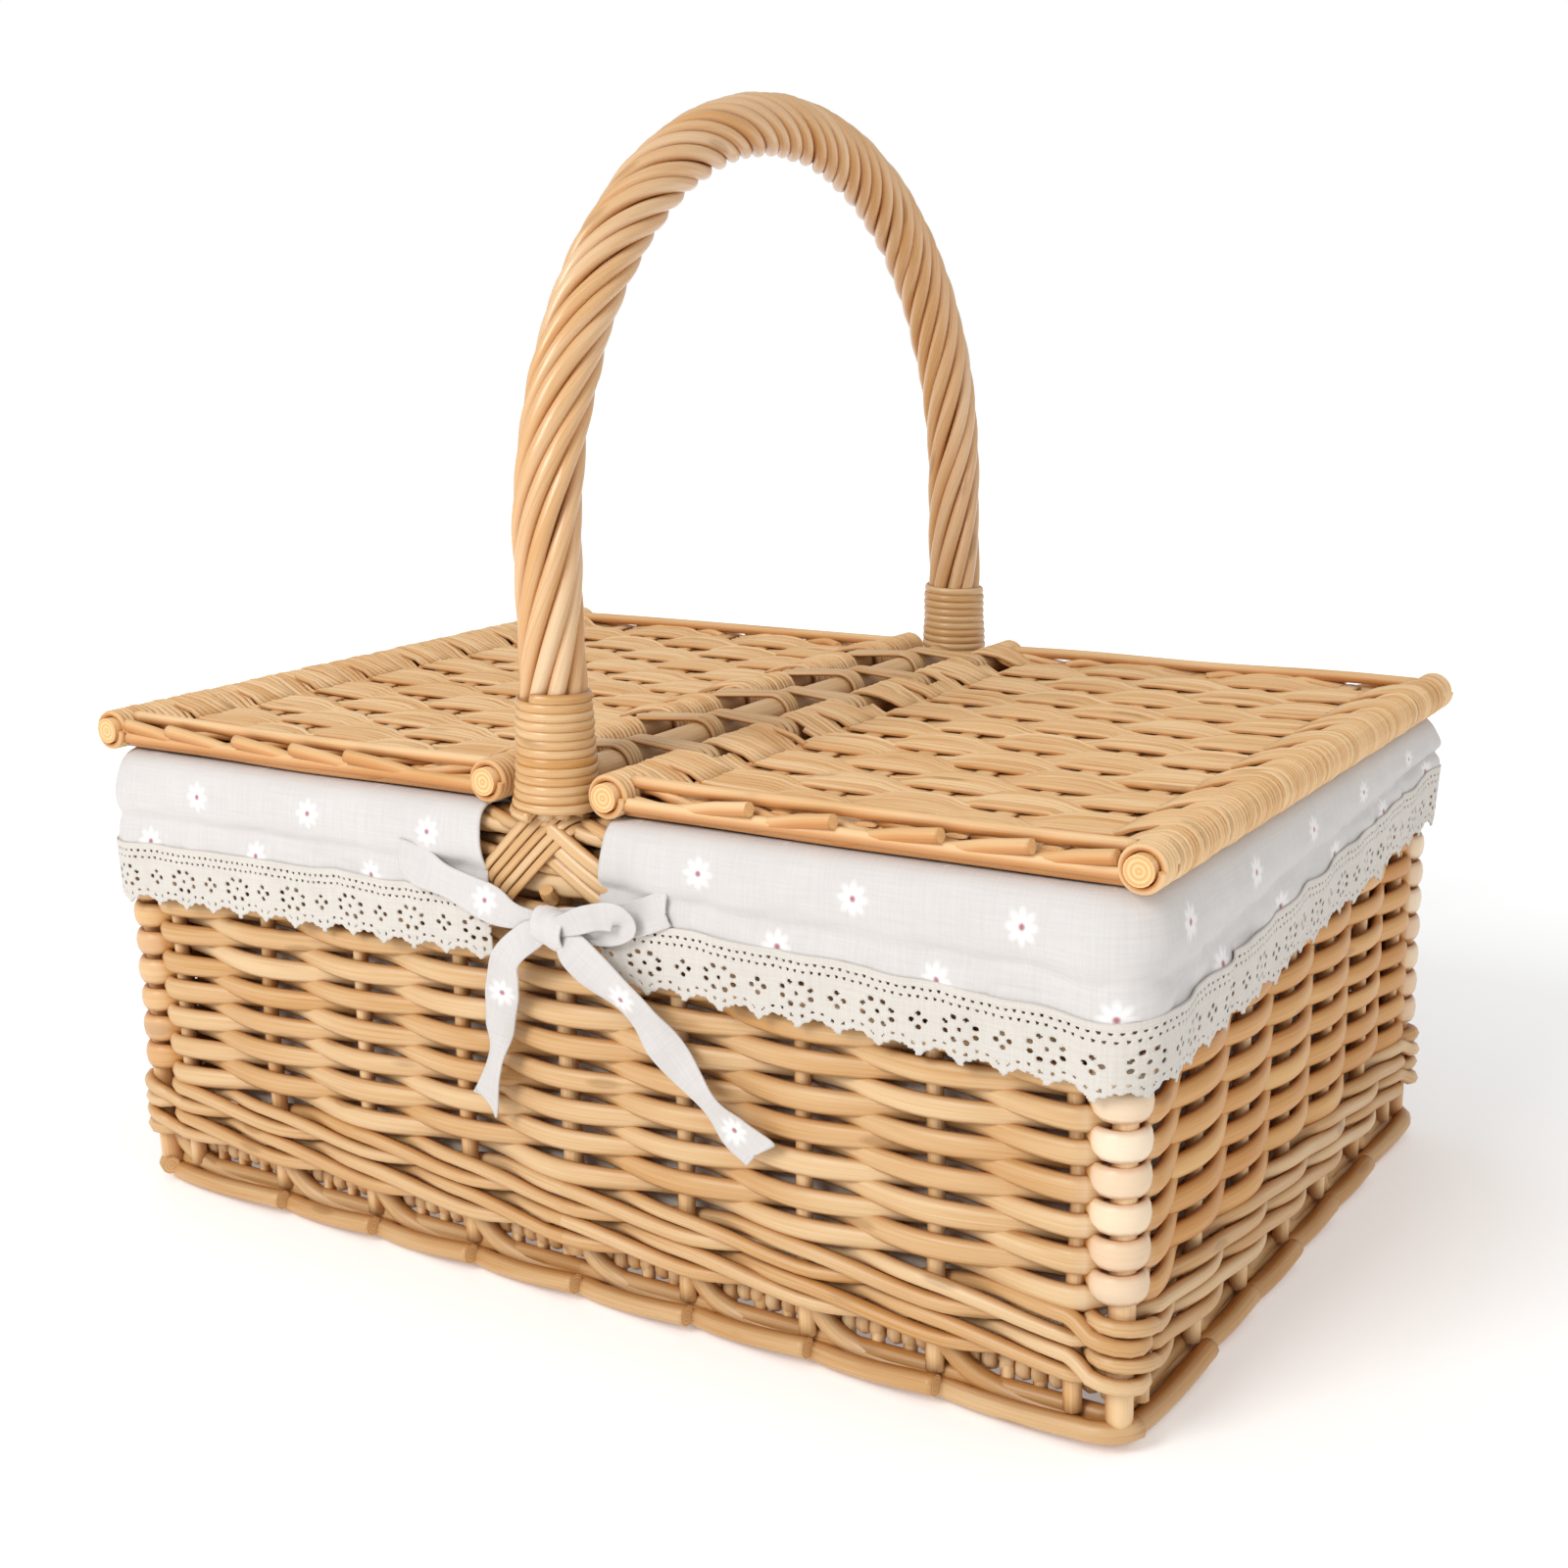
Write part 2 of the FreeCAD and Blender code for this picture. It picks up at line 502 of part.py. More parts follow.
def u_shell(name, side, notch, z_from, z_to, cover):
    """Half of a cloth band round the outside of the rim, open at the handle's feet.

    With a cover it also folds inwards over the rim to the bag's top edge.
    """
    outer_x, outer_y = f"({CLOTH_FACE_X} + #cloth_thickness)", f"({CLOTH_FACE_Y} + #cloth_thickness)"
    x1, x2 = (f"{notch} / 2", outer_x) if side > 0 else (f"-{outer_x}", f"-{notch} / 2")
    solid = box(name + "_outer", x1, x2, f"-{outer_y}", outer_y, z_from, z_to)
    roof = f"{z_to} - #cloth_thickness" if cover else z_to
    room = box(name + "_room", f"-{CLOTH_FACE_X}", CLOTH_FACE_X, f"-{CLOTH_FACE_Y}", CLOTH_FACE_Y,
               z_from, roof)
    if not cover:
        return cut(name, solid, room)
    mouth_x = f"({INSIDE_X} - #soft_gap - #cloth_thickness)"
    mouth_y = f"({INSIDE_Y} - #soft_gap - #cloth_thickness)"
    mouth = box(name + "_mouth", f"-{mouth_x}", mouth_x, f"-{mouth_y}", mouth_y, z_from, z_to)
    return cut(name, solid, fuse(name + "_tools", [room, mouth]))


def make_liner():
    lace_top = f"({CLOTH_TOP} - #flap_depth - #soft_gap)"
    nodes = {"liner_bag": make_bag()}
    for name, side in (("left", -1), ("right", 1)):
        nodes[f"{name}_flap"] = u_shell(f"{name}_flap", side, "#flap_notch", f"{CLOTH_TOP} - #flap_depth",
                                        CLOTH_TOP, True)
        nodes[f"{name}_lace"] = u_shell(f"{name}_lace", side, "#lace_notch", f"{lace_top} - #lace_depth",
                                        lace_top, False)
    return nodes


def hanging_strip(name, x, z, y, length, turn):
    """A flat strip of cloth that rises from its lowest corner, turned about the Y axis."""
    item = doc.addObject("Part::Box", name)
    item.Placement = FreeCAD.Placement(V(), FreeCAD.Rotation(V(0, 1, 0), turn))
    bind(item, Length="#tie_width", Width="#cloth_thickness", Height=length)
    return place(item, x, y, z)


def make_ties(end, sign):
    """A pair of ties sewn to the two flaps beside a foot of the handle, their knot and the hanging tails."""
    face = "(#basket_width / 2 + 2 * #soft_gap + #lashing_thickness)"
    y = face if sign > 0 else f"-{face} - #cloth_thickness"
    knot_y = face if sign > 0 else f"-{face} - #knot_thickness"
    knot_z = f"({CLOTH_TOP} - #flap_depth)"
    half_height = "#knot_height / 2"
    knot_left, knot_right = "(#knot_offset - #knot_width / 2)", "(#knot_offset + #knot_width / 2)"
    knot = box(f"{end}_knot", knot_left, knot_right, knot_y, f"{knot_y} + #knot_thickness",
               f"{knot_z} - {half_height}", f"{knot_z} + {half_height}")
    arms = []
    for label, x1, x2 in (("left", "-#left_tie_reach", f"{knot_left} - #soft_gap"),
                          ("right", f"{knot_right} + #soft_gap", "#right_tie_reach")):
        arms.append(box(f"{end}_tie_{label}", x1, x2, y, f"{y} + #cloth_thickness",
                        f"{knot_z} - #tie_width / 2", f"{knot_z} + #tie_width / 2"))
    tail_top = f"({knot_z} - {half_height} - #soft_gap)"
    tails = []
    for label, lean, x in (("left", LEFT_TAIL_LEAN, knot_left), ("right", RIGHT_TAIL_LEAN, "#knot_offset")):
        across, along = math.cos(math.radians(lean)), math.sin(math.radians(lean))
        length = f"#{label}_tail_length"
        start_x = f"{x} - {length} * {along}"
        start_z = f"{tail_top} - {length} * {across} - #tie_width * {max(0, -along)}"
        tails.append(hanging_strip(f"{end}_tail_{label}", start_x, start_z, y, length, lean))
    return {
        f"{end}_ties": group(f"{end}_ties", arms),
        f"{end}_knot": knot,
        f"{end}_tails": group(f"{end}_tails", tails),
    }


# ---------------------------------------------------------------- assembly
def build():
    nodes, holes = make_stakes()
    nodes.update(make_base())
    nodes.update(make_walls(holes))
    nodes.update(make_handle())
    nodes.update(make_hinge())
    nodes.update(make_lid("left_lid", -1))
    nodes.update(make_lid("right_lid", 1))
    nodes.update(make_liner())
    for end, sign in (("front", -1), ("back", 1)):
        nodes.update(make_ties(end, sign))
    return nodes


def check(nodes):
    """Stop with a plain message if any object failed or any sub-part is not sound."""
    for item in doc.Objects:
        if "Invalid" in item.State or "Error" in item.State:
            raise RuntimeError(f"{item.Name} failed: {item.State}")
    for label, item in nodes.items():
        if item.Shape.isNull() or not item.Shape.isValid() or not item.Shape.Solids:
            raise RuntimeError(f"{label} has no sound shape")


def write(nodes):
    os.makedirs("parts", exist_ok=True)
    for label, item in nodes.items():
        item.Label = label
        item.Shape.exportStep(f"parts/{label}.step")
        extent = item.Shape.BoundBox
        print(f"{label}: {len(item.Shape.Solids)} solids, {item.Shape.Volume:.0f} mm3, "
              f"{extent.XLength:.1f} x {extent.YLength:.1f} x {extent.ZLength:.1f} mm")


parts = build()
doc.recompute()
check(parts)
write(parts)
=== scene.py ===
"""Looks of a willow sewing basket with two hinged lids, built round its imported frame.

Laid out as an add-on: settings, one operator for each group of pieces, a panel that lists them, and a main
function that runs them in order. Metres, +X along the basket's length, +Y towards its back, +Z up.
"""
import math

import bpy
import numpy as np
from bpy.props import FloatProperty, FloatVectorProperty, IntProperty, PointerProperty
from bpy.types import Operator, Panel, PropertyGroup
from mathutils import Matrix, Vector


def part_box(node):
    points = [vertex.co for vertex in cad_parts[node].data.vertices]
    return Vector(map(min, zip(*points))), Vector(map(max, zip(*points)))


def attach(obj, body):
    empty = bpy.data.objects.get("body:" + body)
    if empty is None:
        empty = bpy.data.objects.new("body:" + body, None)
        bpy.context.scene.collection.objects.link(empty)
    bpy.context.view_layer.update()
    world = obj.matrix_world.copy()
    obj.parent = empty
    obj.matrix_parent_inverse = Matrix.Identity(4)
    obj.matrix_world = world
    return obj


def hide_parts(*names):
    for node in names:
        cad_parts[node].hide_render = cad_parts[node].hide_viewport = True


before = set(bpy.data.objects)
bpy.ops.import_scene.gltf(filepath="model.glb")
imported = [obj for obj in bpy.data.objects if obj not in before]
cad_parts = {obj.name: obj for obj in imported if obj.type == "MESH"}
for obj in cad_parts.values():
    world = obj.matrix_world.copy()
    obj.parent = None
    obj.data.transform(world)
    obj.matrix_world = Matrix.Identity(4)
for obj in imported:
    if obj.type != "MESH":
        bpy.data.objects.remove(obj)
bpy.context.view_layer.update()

bl_info = {
    "name": "Willow Sewing Basket",
    "version": (1, 0, 0),
    "blender": (4, 5, 0),
    "location": "3D View > Sidebar > Basket",
    "description": "Builds a woven willow sewing basket with hinged lids and a cloth liner",
    "category": "Add Mesh",
}

MM = 0.001
TURN = 2 * math.pi
UP = np.array([0.0, 0.0, 1.0])


# ---------------------------------------------------------------- places read from the frame
def low(node):
    """A node's lowest corner as an array."""
    return np.array(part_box(node)[0])


def high(node):
    """A node's highest corner as an array."""
    return np.array(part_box(node)[1])


STAKE_RADIUS = (high("right_stakes")[0] - low("right_stakes")[0]) / 2
POST_RADIUS = (high("corner_posts")[0] - high("right_stakes")[0]) + STAKE_RADIUS
WALL_X = high("right_stakes")[0] - STAKE_RADIUS
WALL_Y = high("back_stakes")[1] - STAKE_RADIUS
END_STAKE_X = high("front_stakes")[0] - STAKE_RADIUS
END_STAKE_Y = high("right_stakes")[1] - STAKE_RADIUS
LONG_BAYS = 4
SHORT_BAYS = 3
FOOT_TOP = high("foot_border")[2]
WALE_LOW, WALE_TOP = low("bottom_waling")[2], high("bottom_waling")[2]
WEAVE_LOW, WEAVE_TOP = low("front_weave")[2], high("front_weave")[2]
TOP_WALE_LOW, TOP_WALE_TOP = low("top_waling")[2], high("top_waling")[2]
RIM_LOW, RIM_TOP = low("rim_border")[2], high("rim_border")[2]
HANDLE_RADIUS = high("handle_wrap")[0]
HANDLE_TOP = high("handle_wrap")[2]
ARCH_Z = HANDLE_TOP - HANDLE_RADIUS - WALL_Y
COLLAR_TOP = high("front_collar")[2]
HINGE_Z = (low("hinge_bar")[2] + high("hinge_bar")[2]) / 2
BAR_RADIUS = high("hinge_bar")[0]
BAR_END = high("hinge_bar")[1]
HINGE_X = (low("right_lid_inner_rod")[0] + high("right_lid_inner_rod")[0]) / 2
LID_END_X = (low("right_lid_outer_rod")[0] + high("right_lid_outer_rod")[0]) / 2
LID_ROD_RADIUS = (high("right_lid_outer_rod")[0] - low("right_lid_outer_rod")[0]) / 2
LID_EDGE_Y = high("right_lid_outer_rod")[1]
LID_ROLL_RADIUS = high("right_lid_weave")[0] - LID_END_X
LID_BORDER_Y = low("right_lid_back_border")[1]
BAG_X, BAG_Y = high("liner_bag")[0], high("liner_bag")[1]
BAG_LOW, BAG_TOP = low("liner_bag")[2], high("liner_bag")[2]


# ---------------------------------------------------------------- arrays
def unit(vectors):
    """Vectors divided by their lengths."""
    return vectors / np.maximum(np.linalg.norm(vectors, axis=-1, keepdims=True), 1e-12)


def smooth(share):
    """Half a cosine wave, from 0 to 1."""
    return (1 - np.cos(np.pi * np.clip(share, 0, 1))) / 2


def ripple(random, places, wave, rods=1, parts=4):
    """A gentle random curve for each rod, about -1 to 1: a sum of sines with waves near the given length."""
    waves = wave * random.uniform(0.6, 1.7, (rods, parts, 1))
    starts = random.uniform(0, TURN, (rods, parts, 1))
    return np.sin(TURN * np.asarray(places)[None, None, :] / waves + starts).sum(1) / math.sqrt(parts)


def run_of(line):
    """Distances along a line of points (n, 3), from nought."""
    return np.concatenate([[0], np.cumsum(np.linalg.norm(np.diff(line, axis=0), axis=1))])


def points_of(*parts):
    """Join coordinate arrays of any matching shapes into an array of points."""
    return np.stack(np.broadcast_arrays(*parts), -1)


class Bundle:
    """Gathers points and faces for one mesh with a UV map, a shade per point and a cut mark per face."""

    def __init__(self):
        self.points, self.faces, self.uvs, self.shades, self.cuts = [], [], [], [], []
        self.hollows, self.bleach_and_highlights = [], []
        self.total = 0

    def add(self, points, shades, groups, hollows=0.0, bleach_and_highlights=0.0):
        """Add points (n, 3) with shades (n), and groups of (faces, uvs, cut) whose faces index those points.

        The painted groove shade of a point says how far round to a rod's hidden side it is, and the bleach of
        a point how pale it is, partly a painted highlight; both run from 0 to 1.
        """
        self.hollows.append(np.broadcast_to(hollows, len(points)))
        self.bleach_and_highlights.append(np.broadcast_to(bleach_and_highlights, len(points)))
        for faces, uvs, cut in groups:
            self.faces.append(faces + self.total)
            self.uvs.append(uvs)
            self.cuts.append(np.full(len(faces), float(cut)))
        self.points.append(points)
        self.shades.append(shades)
        self.total += len(points)

    def mesh(self, name):
        """The mesh of everything gathered."""
        mesh = bpy.data.meshes.new(name)
        points = np.concatenate(self.points)
        sizes = np.concatenate([np.full(len(faces), faces.shape[1]) for faces in self.faces])
        corners = np.concatenate([faces.ravel() for faces in self.faces])
        cuts = np.concatenate(self.cuts)
        mesh.vertices.add(len(points))
        mesh.vertices.foreach_set("co", points.astype(np.float32).ravel())
        mesh.loops.add(len(corners))
        mesh.loops.foreach_set("vertex_index", corners.astype(np.int32))
        mesh.polygons.add(len(sizes))
        mesh.polygons.foreach_set("loop_start", (np.cumsum(sizes) - sizes).astype(np.int32))
        mesh.polygons.foreach_set("loop_total", sizes.astype(np.int32))
        mesh.polygons.foreach_set("use_smooth", cuts < 0.5)
        uvs = np.concatenate([uv.reshape(-1, 2) for uv in self.uvs])
        mesh.uv_layers.new(name="UVMap").data.foreach_set("uv", uvs.astype(np.float32).ravel())
        for label, parts in (("shade", self.shades), ("hollow", self.hollows), ("pale", self.bleach_and_highlights)):
            layer = mesh.attributes.new(label, "FLOAT", "POINT")
            layer.data.foreach_set("value", np.concatenate(parts).astype(np.float32))
        cut = mesh.attributes.new("cut", "FLOAT", "FACE")
        cut.data.foreach_set("value", cuts.astype(np.float32))
        mesh.update(calc_edges=True)
        mesh.validate()
        return mesh


def carry(bundle, paths, width, height, up, sides, shades, closed=False, pale=0.0, both=False):
    """Carry an oval profile along many paths at once, as rods with cut ends or as closed rounds.

    A point is path + cos(angle) * width * side + sin(angle) * height * lift, where side is tangent x up
    and lift is side x tangent. The seam of the UV map runs along -lift. U is the length along the rod, V
    the length round. A point's painted groove shade is greatest at -lift, or at both sides where both faces
    of a panel show; a pale value bleaches a point, partly as a painted highlight.
    """
    paths = np.asarray(paths, float)
    rods, steps = paths.shape[:2]
    if closed:
        tangent = unit(np.roll(paths, -1, 1) - np.roll(paths, 1, 1))
    else:
        tangent = unit(np.gradient(paths, axis=1))
    side = unit(np.cross(tangent, np.broadcast_to(up, paths.shape)))
    lift = np.cross(side, tangent)
    width, height = (np.broadcast_to(size, (rods, steps)) for size in (width, height))
    angle = (np.arange(sides) / sides - 0.25) * TURN
    rings = (paths[:, :, None] + (np.cos(angle) * width[..., None])[..., None] * side[:, :, None]
             + (np.sin(angle) * height[..., None])[..., None] * lift[:, :, None])
    shades = np.broadcast_to(np.asarray(shades, float).reshape(-1, 1), (rods, 1))
    ahead = np.roll(paths, -1, 1) if closed else paths[:, 1:]
    legs = np.linalg.norm(ahead - (paths if closed else paths[:, :-1]), axis=-1)
    along = np.concatenate([np.zeros((rods, 1)), np.cumsum(legs, 1)], 1) + shades * 7.0
    around = np.arange(sides + 1) / sides * TURN * float(np.mean(width + height) / 2)
    index = np.arange(rods * steps * sides).reshape(rods, steps, sides)
    here, there = (index, np.roll(index, -1, 1)) if closed else (index[:, :-1], index[:, 1:])
    quads = np.stack([here, there, np.roll(there, -1, 2), np.roll(here, -1, 2)], -1).reshape(-1, 4)
    u1, u2 = along[:, :-1, None], along[:, 1:, None]
    v1, v2 = around[None, None, :-1], around[None, None, 1:]
    uvs = np.stack([points_of(u1, v1), points_of(u2, v1), points_of(u2, v2), points_of(u1, v2)], -2)
    groups = [(quads, uvs.reshape(-1, 4, 2), 0)]
    if not closed:
        disc = np.broadcast_to(np.stack([np.cos(angle), np.sin(angle)], -1), (rods, sides, 2))
        groups += [(index[:, 0], disc, 1), (index[:, -1, ::-1], disc[:, ::-1], 1)]
    # Painted shade: how far round to its rod's hidden side each point is, darkened by the willow material.
    hollows = 0.55 - 0.55 * np.abs(np.sin(angle)) if both else (1 - np.sin(angle)) / 2
    hollows = np.broadcast_to(hollows, (rods, steps, sides)).ravel()
    bleach_and_highlights = np.repeat(np.broadcast_to(pale, (rods, steps)).ravel(), sides)
    bundle.add(rings.reshape(-1, 3), np.repeat(shades[:, 0], steps * sides), groups, hollows, bleach_and_highlights)


def lay(bundle, grid, u, v, shade=0.5, keep=None):
    """Lay a sheet over a grid of points (rows, columns, 3), facing along rows x columns. UV in metres."""
    rows, columns = grid.shape[:2]
    index = np.arange(rows * columns).reshape(rows, columns)
    quads = np.stack([index[:-1, :-1], index[1:, :-1], index[1:, 1:], index[:-1, 1:]], -1)
    flat = points_of(u, v)
    uvs = np.stack([flat[:-1, :-1], flat[1:, :-1], flat[1:, 1:], flat[:-1, 1:]], -2)
    if keep is None:
        keep = np.ones(quads.shape[:2], bool)
    bundle.add(grid.reshape(-1, 3), np.full(rows * columns, shade), [(quads[keep], uvs[keep], 0)])


def piece(name, bundle, finish, body, nodes=()):
    """Put a bundle in the scene as a named piece in a finish, on a body and in place of its CAD nodes."""
    mesh = bundle.mesh(name)
    item = bpy.data.objects.new(name, mesh)
    bpy.context.scene.collection.objects.link(item)
    mesh.materials.append(MATERIALS[finish])
    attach(item, body)
    if nodes:
        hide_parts(*nodes)
    return item


def thicken(item, thickness, levels=0):
    """Give a sheet its thickness, and smooth it first where levels are asked for."""
    if levels:
        subdivision = item.modifiers.new("Soften", "SUBSURF")
        subdivision.levels = subdivision.render_levels = levels
    shell = item.modifiers.new("Thickness", "SOLIDIFY")
    shell.thickness = thickness
    shell.offset = 0
    return item


# ---------------------------------------------------------------- the line of the wall
CORNER_BEND = 6 * MM


def outline(half_x, half_y, bend, steps=4000):
    """A rectangle with round corners, walked from the front's middle towards +X.

    Returns the distance walked, the points and the outward directions. Straight runs join quarter
    circles; each quarter turns the direction by a right angle over bend * pi / 2 of the walk.
    """
    quarter = (half_x - bend) + bend * math.pi / 2 + (half_y - bend)
    walk = np.linspace(0, 4 * quarter, 4 * steps + 1)
    number = np.minimum((walk // quarter).astype(int), 3)
    rest = walk - number * quarter
    first = np.where(number % 2 == 0, half_x, half_y)
    second = np.where(number % 2 == 0, half_y, half_x)
    turn = np.clip((rest - (first - bend)) / bend, 0, math.pi / 2)
    ahead = np.minimum(rest, first - bend) + bend * np.sin(turn)
    left = bend * (1 - np.cos(turn)) + np.maximum(rest - (first - bend) - bend * math.pi / 2, 0)
    x, y = ahead, left - second
    heading = number * math.pi / 2
    xs = np.cos(heading) * x - np.sin(heading) * y
    ys = np.sin(heading) * x + np.cos(heading) * y
    out = heading + turn - math.pi / 2
    return walk, np.stack([xs, ys], -1), np.stack([np.cos(out), np.sin(out)], -1)


CLOTH_OUT = 9 * MM
CLOTH_BEND = 19 * MM
WALL = outline(WALL_X, WALL_Y, CORNER_BEND)
CLOTH = outline(WALL_X + CLOTH_OUT, WALL_Y + CLOTH_OUT, CLOTH_BEND)
ROUND = WALL[0][-1]
QUARTER = ROUND / 4
CLOTH_ROUND = CLOTH[0][-1]


def wall_line(walk, offset, z, line=WALL):
    """Points beside the wall's middle line at a distance walked round it, an offset outwards and a height.

    The walk goes round the wall's own line, or round the cloth's line outside it; offsets count from the
    wall's.
    """
    place = np.mod(walk, line[0][-1])
    x, y, nx, ny = (np.interp(place, line[0], column) for column in (*line[1].T, *line[2].T))
    offset = offset - (CLOTH_OUT if line is CLOTH else 0)
    return points_of(x + nx * offset, y + ny * offset, z + 0 * offset), points_of(nx, ny, 0 * nx)


def stake_walks():
    """Distances walked to the stakes and posts from the front's middle, and which of them are posts."""
    corner = WALL_X - CORNER_BEND + CORNER_BEND * math.pi / 4
    long_side = np.arange(LONG_BAYS + 1) / LONG_BAYS * END_STAKE_X
    short_side = np.arange(-SHORT_BAYS, SHORT_BAYS + 1) / SHORT_BAYS * END_STAKE_Y
    half = [*long_side, corner, *(QUARTER + short_side), 2 * QUARTER - corner,
            *(2 * QUARTER - long_side[:0:-1])]
    walks = np.array([*half, *(np.array(half) + 2 * QUARTER)])
    place = np.mod(walks, 2 * QUARTER)
    posts = np.isclose(place, corner) | np.isclose(place, 2 * QUARTER - corner)
    return walks, posts


STAKES, IS_POST = stake_walks()
FRONT_RIGHT, BACK_RIGHT, BACK_LEFT, FRONT_LEFT = np.flatnonzero(IS_POST)


def stake_walk(number):
    """The walk to a stake counted from the front's middle, forwards or backwards, past a whole round too."""
    number = np.asarray(number)
    return STAKES[np.mod(number, len(STAKES))] + ROUND * (number // len(STAKES))


def bays(first, last, per_bay=10):
    """Walks from one stake's number to another's, in equal steps in each bay, and the stake counts there."""
    count = first + np.arange((last - first) * per_bay + 1) / per_bay
    whole = np.floor(count).astype(int)
    walk = stake_walk(whole) + (count - whole) * (stake_walk(whole + 1) - stake_walk(whole))
    return walk, count


# ---------------------------------------------------------------- settings
USUAL_LAY = 104


class WillowSettings(PropertyGroup):
    """Sizes and colours of the willow work."""

    row_pitch: FloatProperty(name="Row Pitch",
                             description="Height from one row of the wall's weave to the next",
                             default=5.3 * MM, min=4 * MM, max=12 * MM, precision=4, unit="LENGTH")
    weaver_height: FloatProperty(name="Weaver Height", description="Height of a wall weaver's oval section",
                                 default=6.8 * MM, min=2 * MM, max=10 * MM, precision=4, unit="LENGTH")
    weaver_depth: FloatProperty(name="Weaver Depth", description="Depth of a wall weaver's oval section",
                                default=4.4 * MM, min=2 * MM, max=10 * MM, precision=4, unit="LENGTH")
    wale_diameter: FloatProperty(name="Wale Rod Diameter",
                                 description="Thickness of the rods of the foot wale",
                                 default=4.9 * MM, min=2 * MM, max=8 * MM, precision=4, unit="LENGTH")
    handle_rods: IntProperty(name="Handle Rods", description="Number of rods twisted round the handle's core",
                             default=9, min=5, max=16)
    handle_rod_diameter: FloatProperty(name="Handle Rod Diameter", description="Thickness of a handle rod",
                                       default=5.4 * MM, min=2 * MM, max=9 * MM, precision=4, unit="LENGTH")
    handle_lay: FloatProperty(name="Handle Lay", description="Length of handle in which its rods turn once",
                              default=USUAL_LAY * MM, min=30 * MM, max=400 * MM, precision=4, unit="LENGTH")
    lid_groups: IntProperty(name="Lid Groups", description="Groups of fine rods across a lid", default=17,
                            min=6, max=40)
    lid_group_rods: IntProperty(name="Rods in a Group",
                                description="Fine rods in each group of the lid's weave",
                                default=7, min=2, max=12)
    pale: FloatVectorProperty(name="Pale Willow", description="Colour of the lightest rods", subtype="COLOR",
                              size=3, min=0, max=1, default=(0.70, 0.485, 0.262))
    deep: FloatVectorProperty(name="Deep Willow", description="Colour of the darkest streaks",
                              subtype="COLOR", size=3, min=0, max=1, default=(0.52, 0.255, 0.07))


class ClothSettings(PropertyGroup):
    """Sizes and colours of the liner and its lace."""

    cloth: FloatVectorProperty(name="Cloth", description="Colour of the cotton", subtype="COLOR", size=3,
                               min=0, max=1, default=(0.68, 0.65, 0.63))
    lace: FloatVectorProperty(name="Lace", description="Colour of the lace", subtype="COLOR", size=3,
                              min=0, max=1, default=(0.70, 0.655, 0.595))
    daisy_spacing: FloatProperty(name="Daisy Spacing", description="Distance between daisies in a row",
                                 default=51.5 * MM, min=10 * MM, max=200 * MM, precision=4, unit="LENGTH")
    daisy_size: FloatProperty(name="Daisy Size", description="Width of a printed daisy", default=9.6 * MM,
                              min=2 * MM, max=60 * MM, precision=4, unit="LENGTH")
    thickness: FloatProperty(name="Cloth Thickness", description="Thickness of the cotton", default=0.7 * MM,
                             min=0.1 * MM, max=3 * MM, precision=4, unit="LENGTH")


class StageSettings(PropertyGroup):
    """The floor, the lights and the camera."""

    azimuth: FloatProperty(name="Camera Azimuth", description="Angle of the camera to the right of the front",
                           default=math.radians(32.10), subtype="ANGLE")
    elevation: FloatProperty(name="Camera Elevation", description="Angle of the camera above the horizon",
                             default=math.radians(13.19), subtype="ANGLE")
    roll: FloatProperty(name="Camera Roll", description="Turn of the camera about its line of sight",
                        default=math.radians(-1.04), subtype="ANGLE")
    lens: FloatProperty(name="Lens", description="Focal length on a 36 mm sensor, in millimetres",
                        default=48.1, min=10, max=300)
    key_power: FloatProperty(name="Key Power", description="Power of the large soft light at the upper left",
                             default=16, min=0, unit="POWER")
    fill_power: FloatProperty(name="Fill Power", description="Power of the soft light at the right",
                              default=2.0, min=0, unit="POWER")
    sky: FloatProperty(name="Sky", description="Brightness of the even light from all round", default=0.62,
                       min=0)


def settings(name):
    """A settings group of the current scene: willow, cloth or stage."""
    return getattr(bpy.context.scene, f"sewing_basket_{name}")


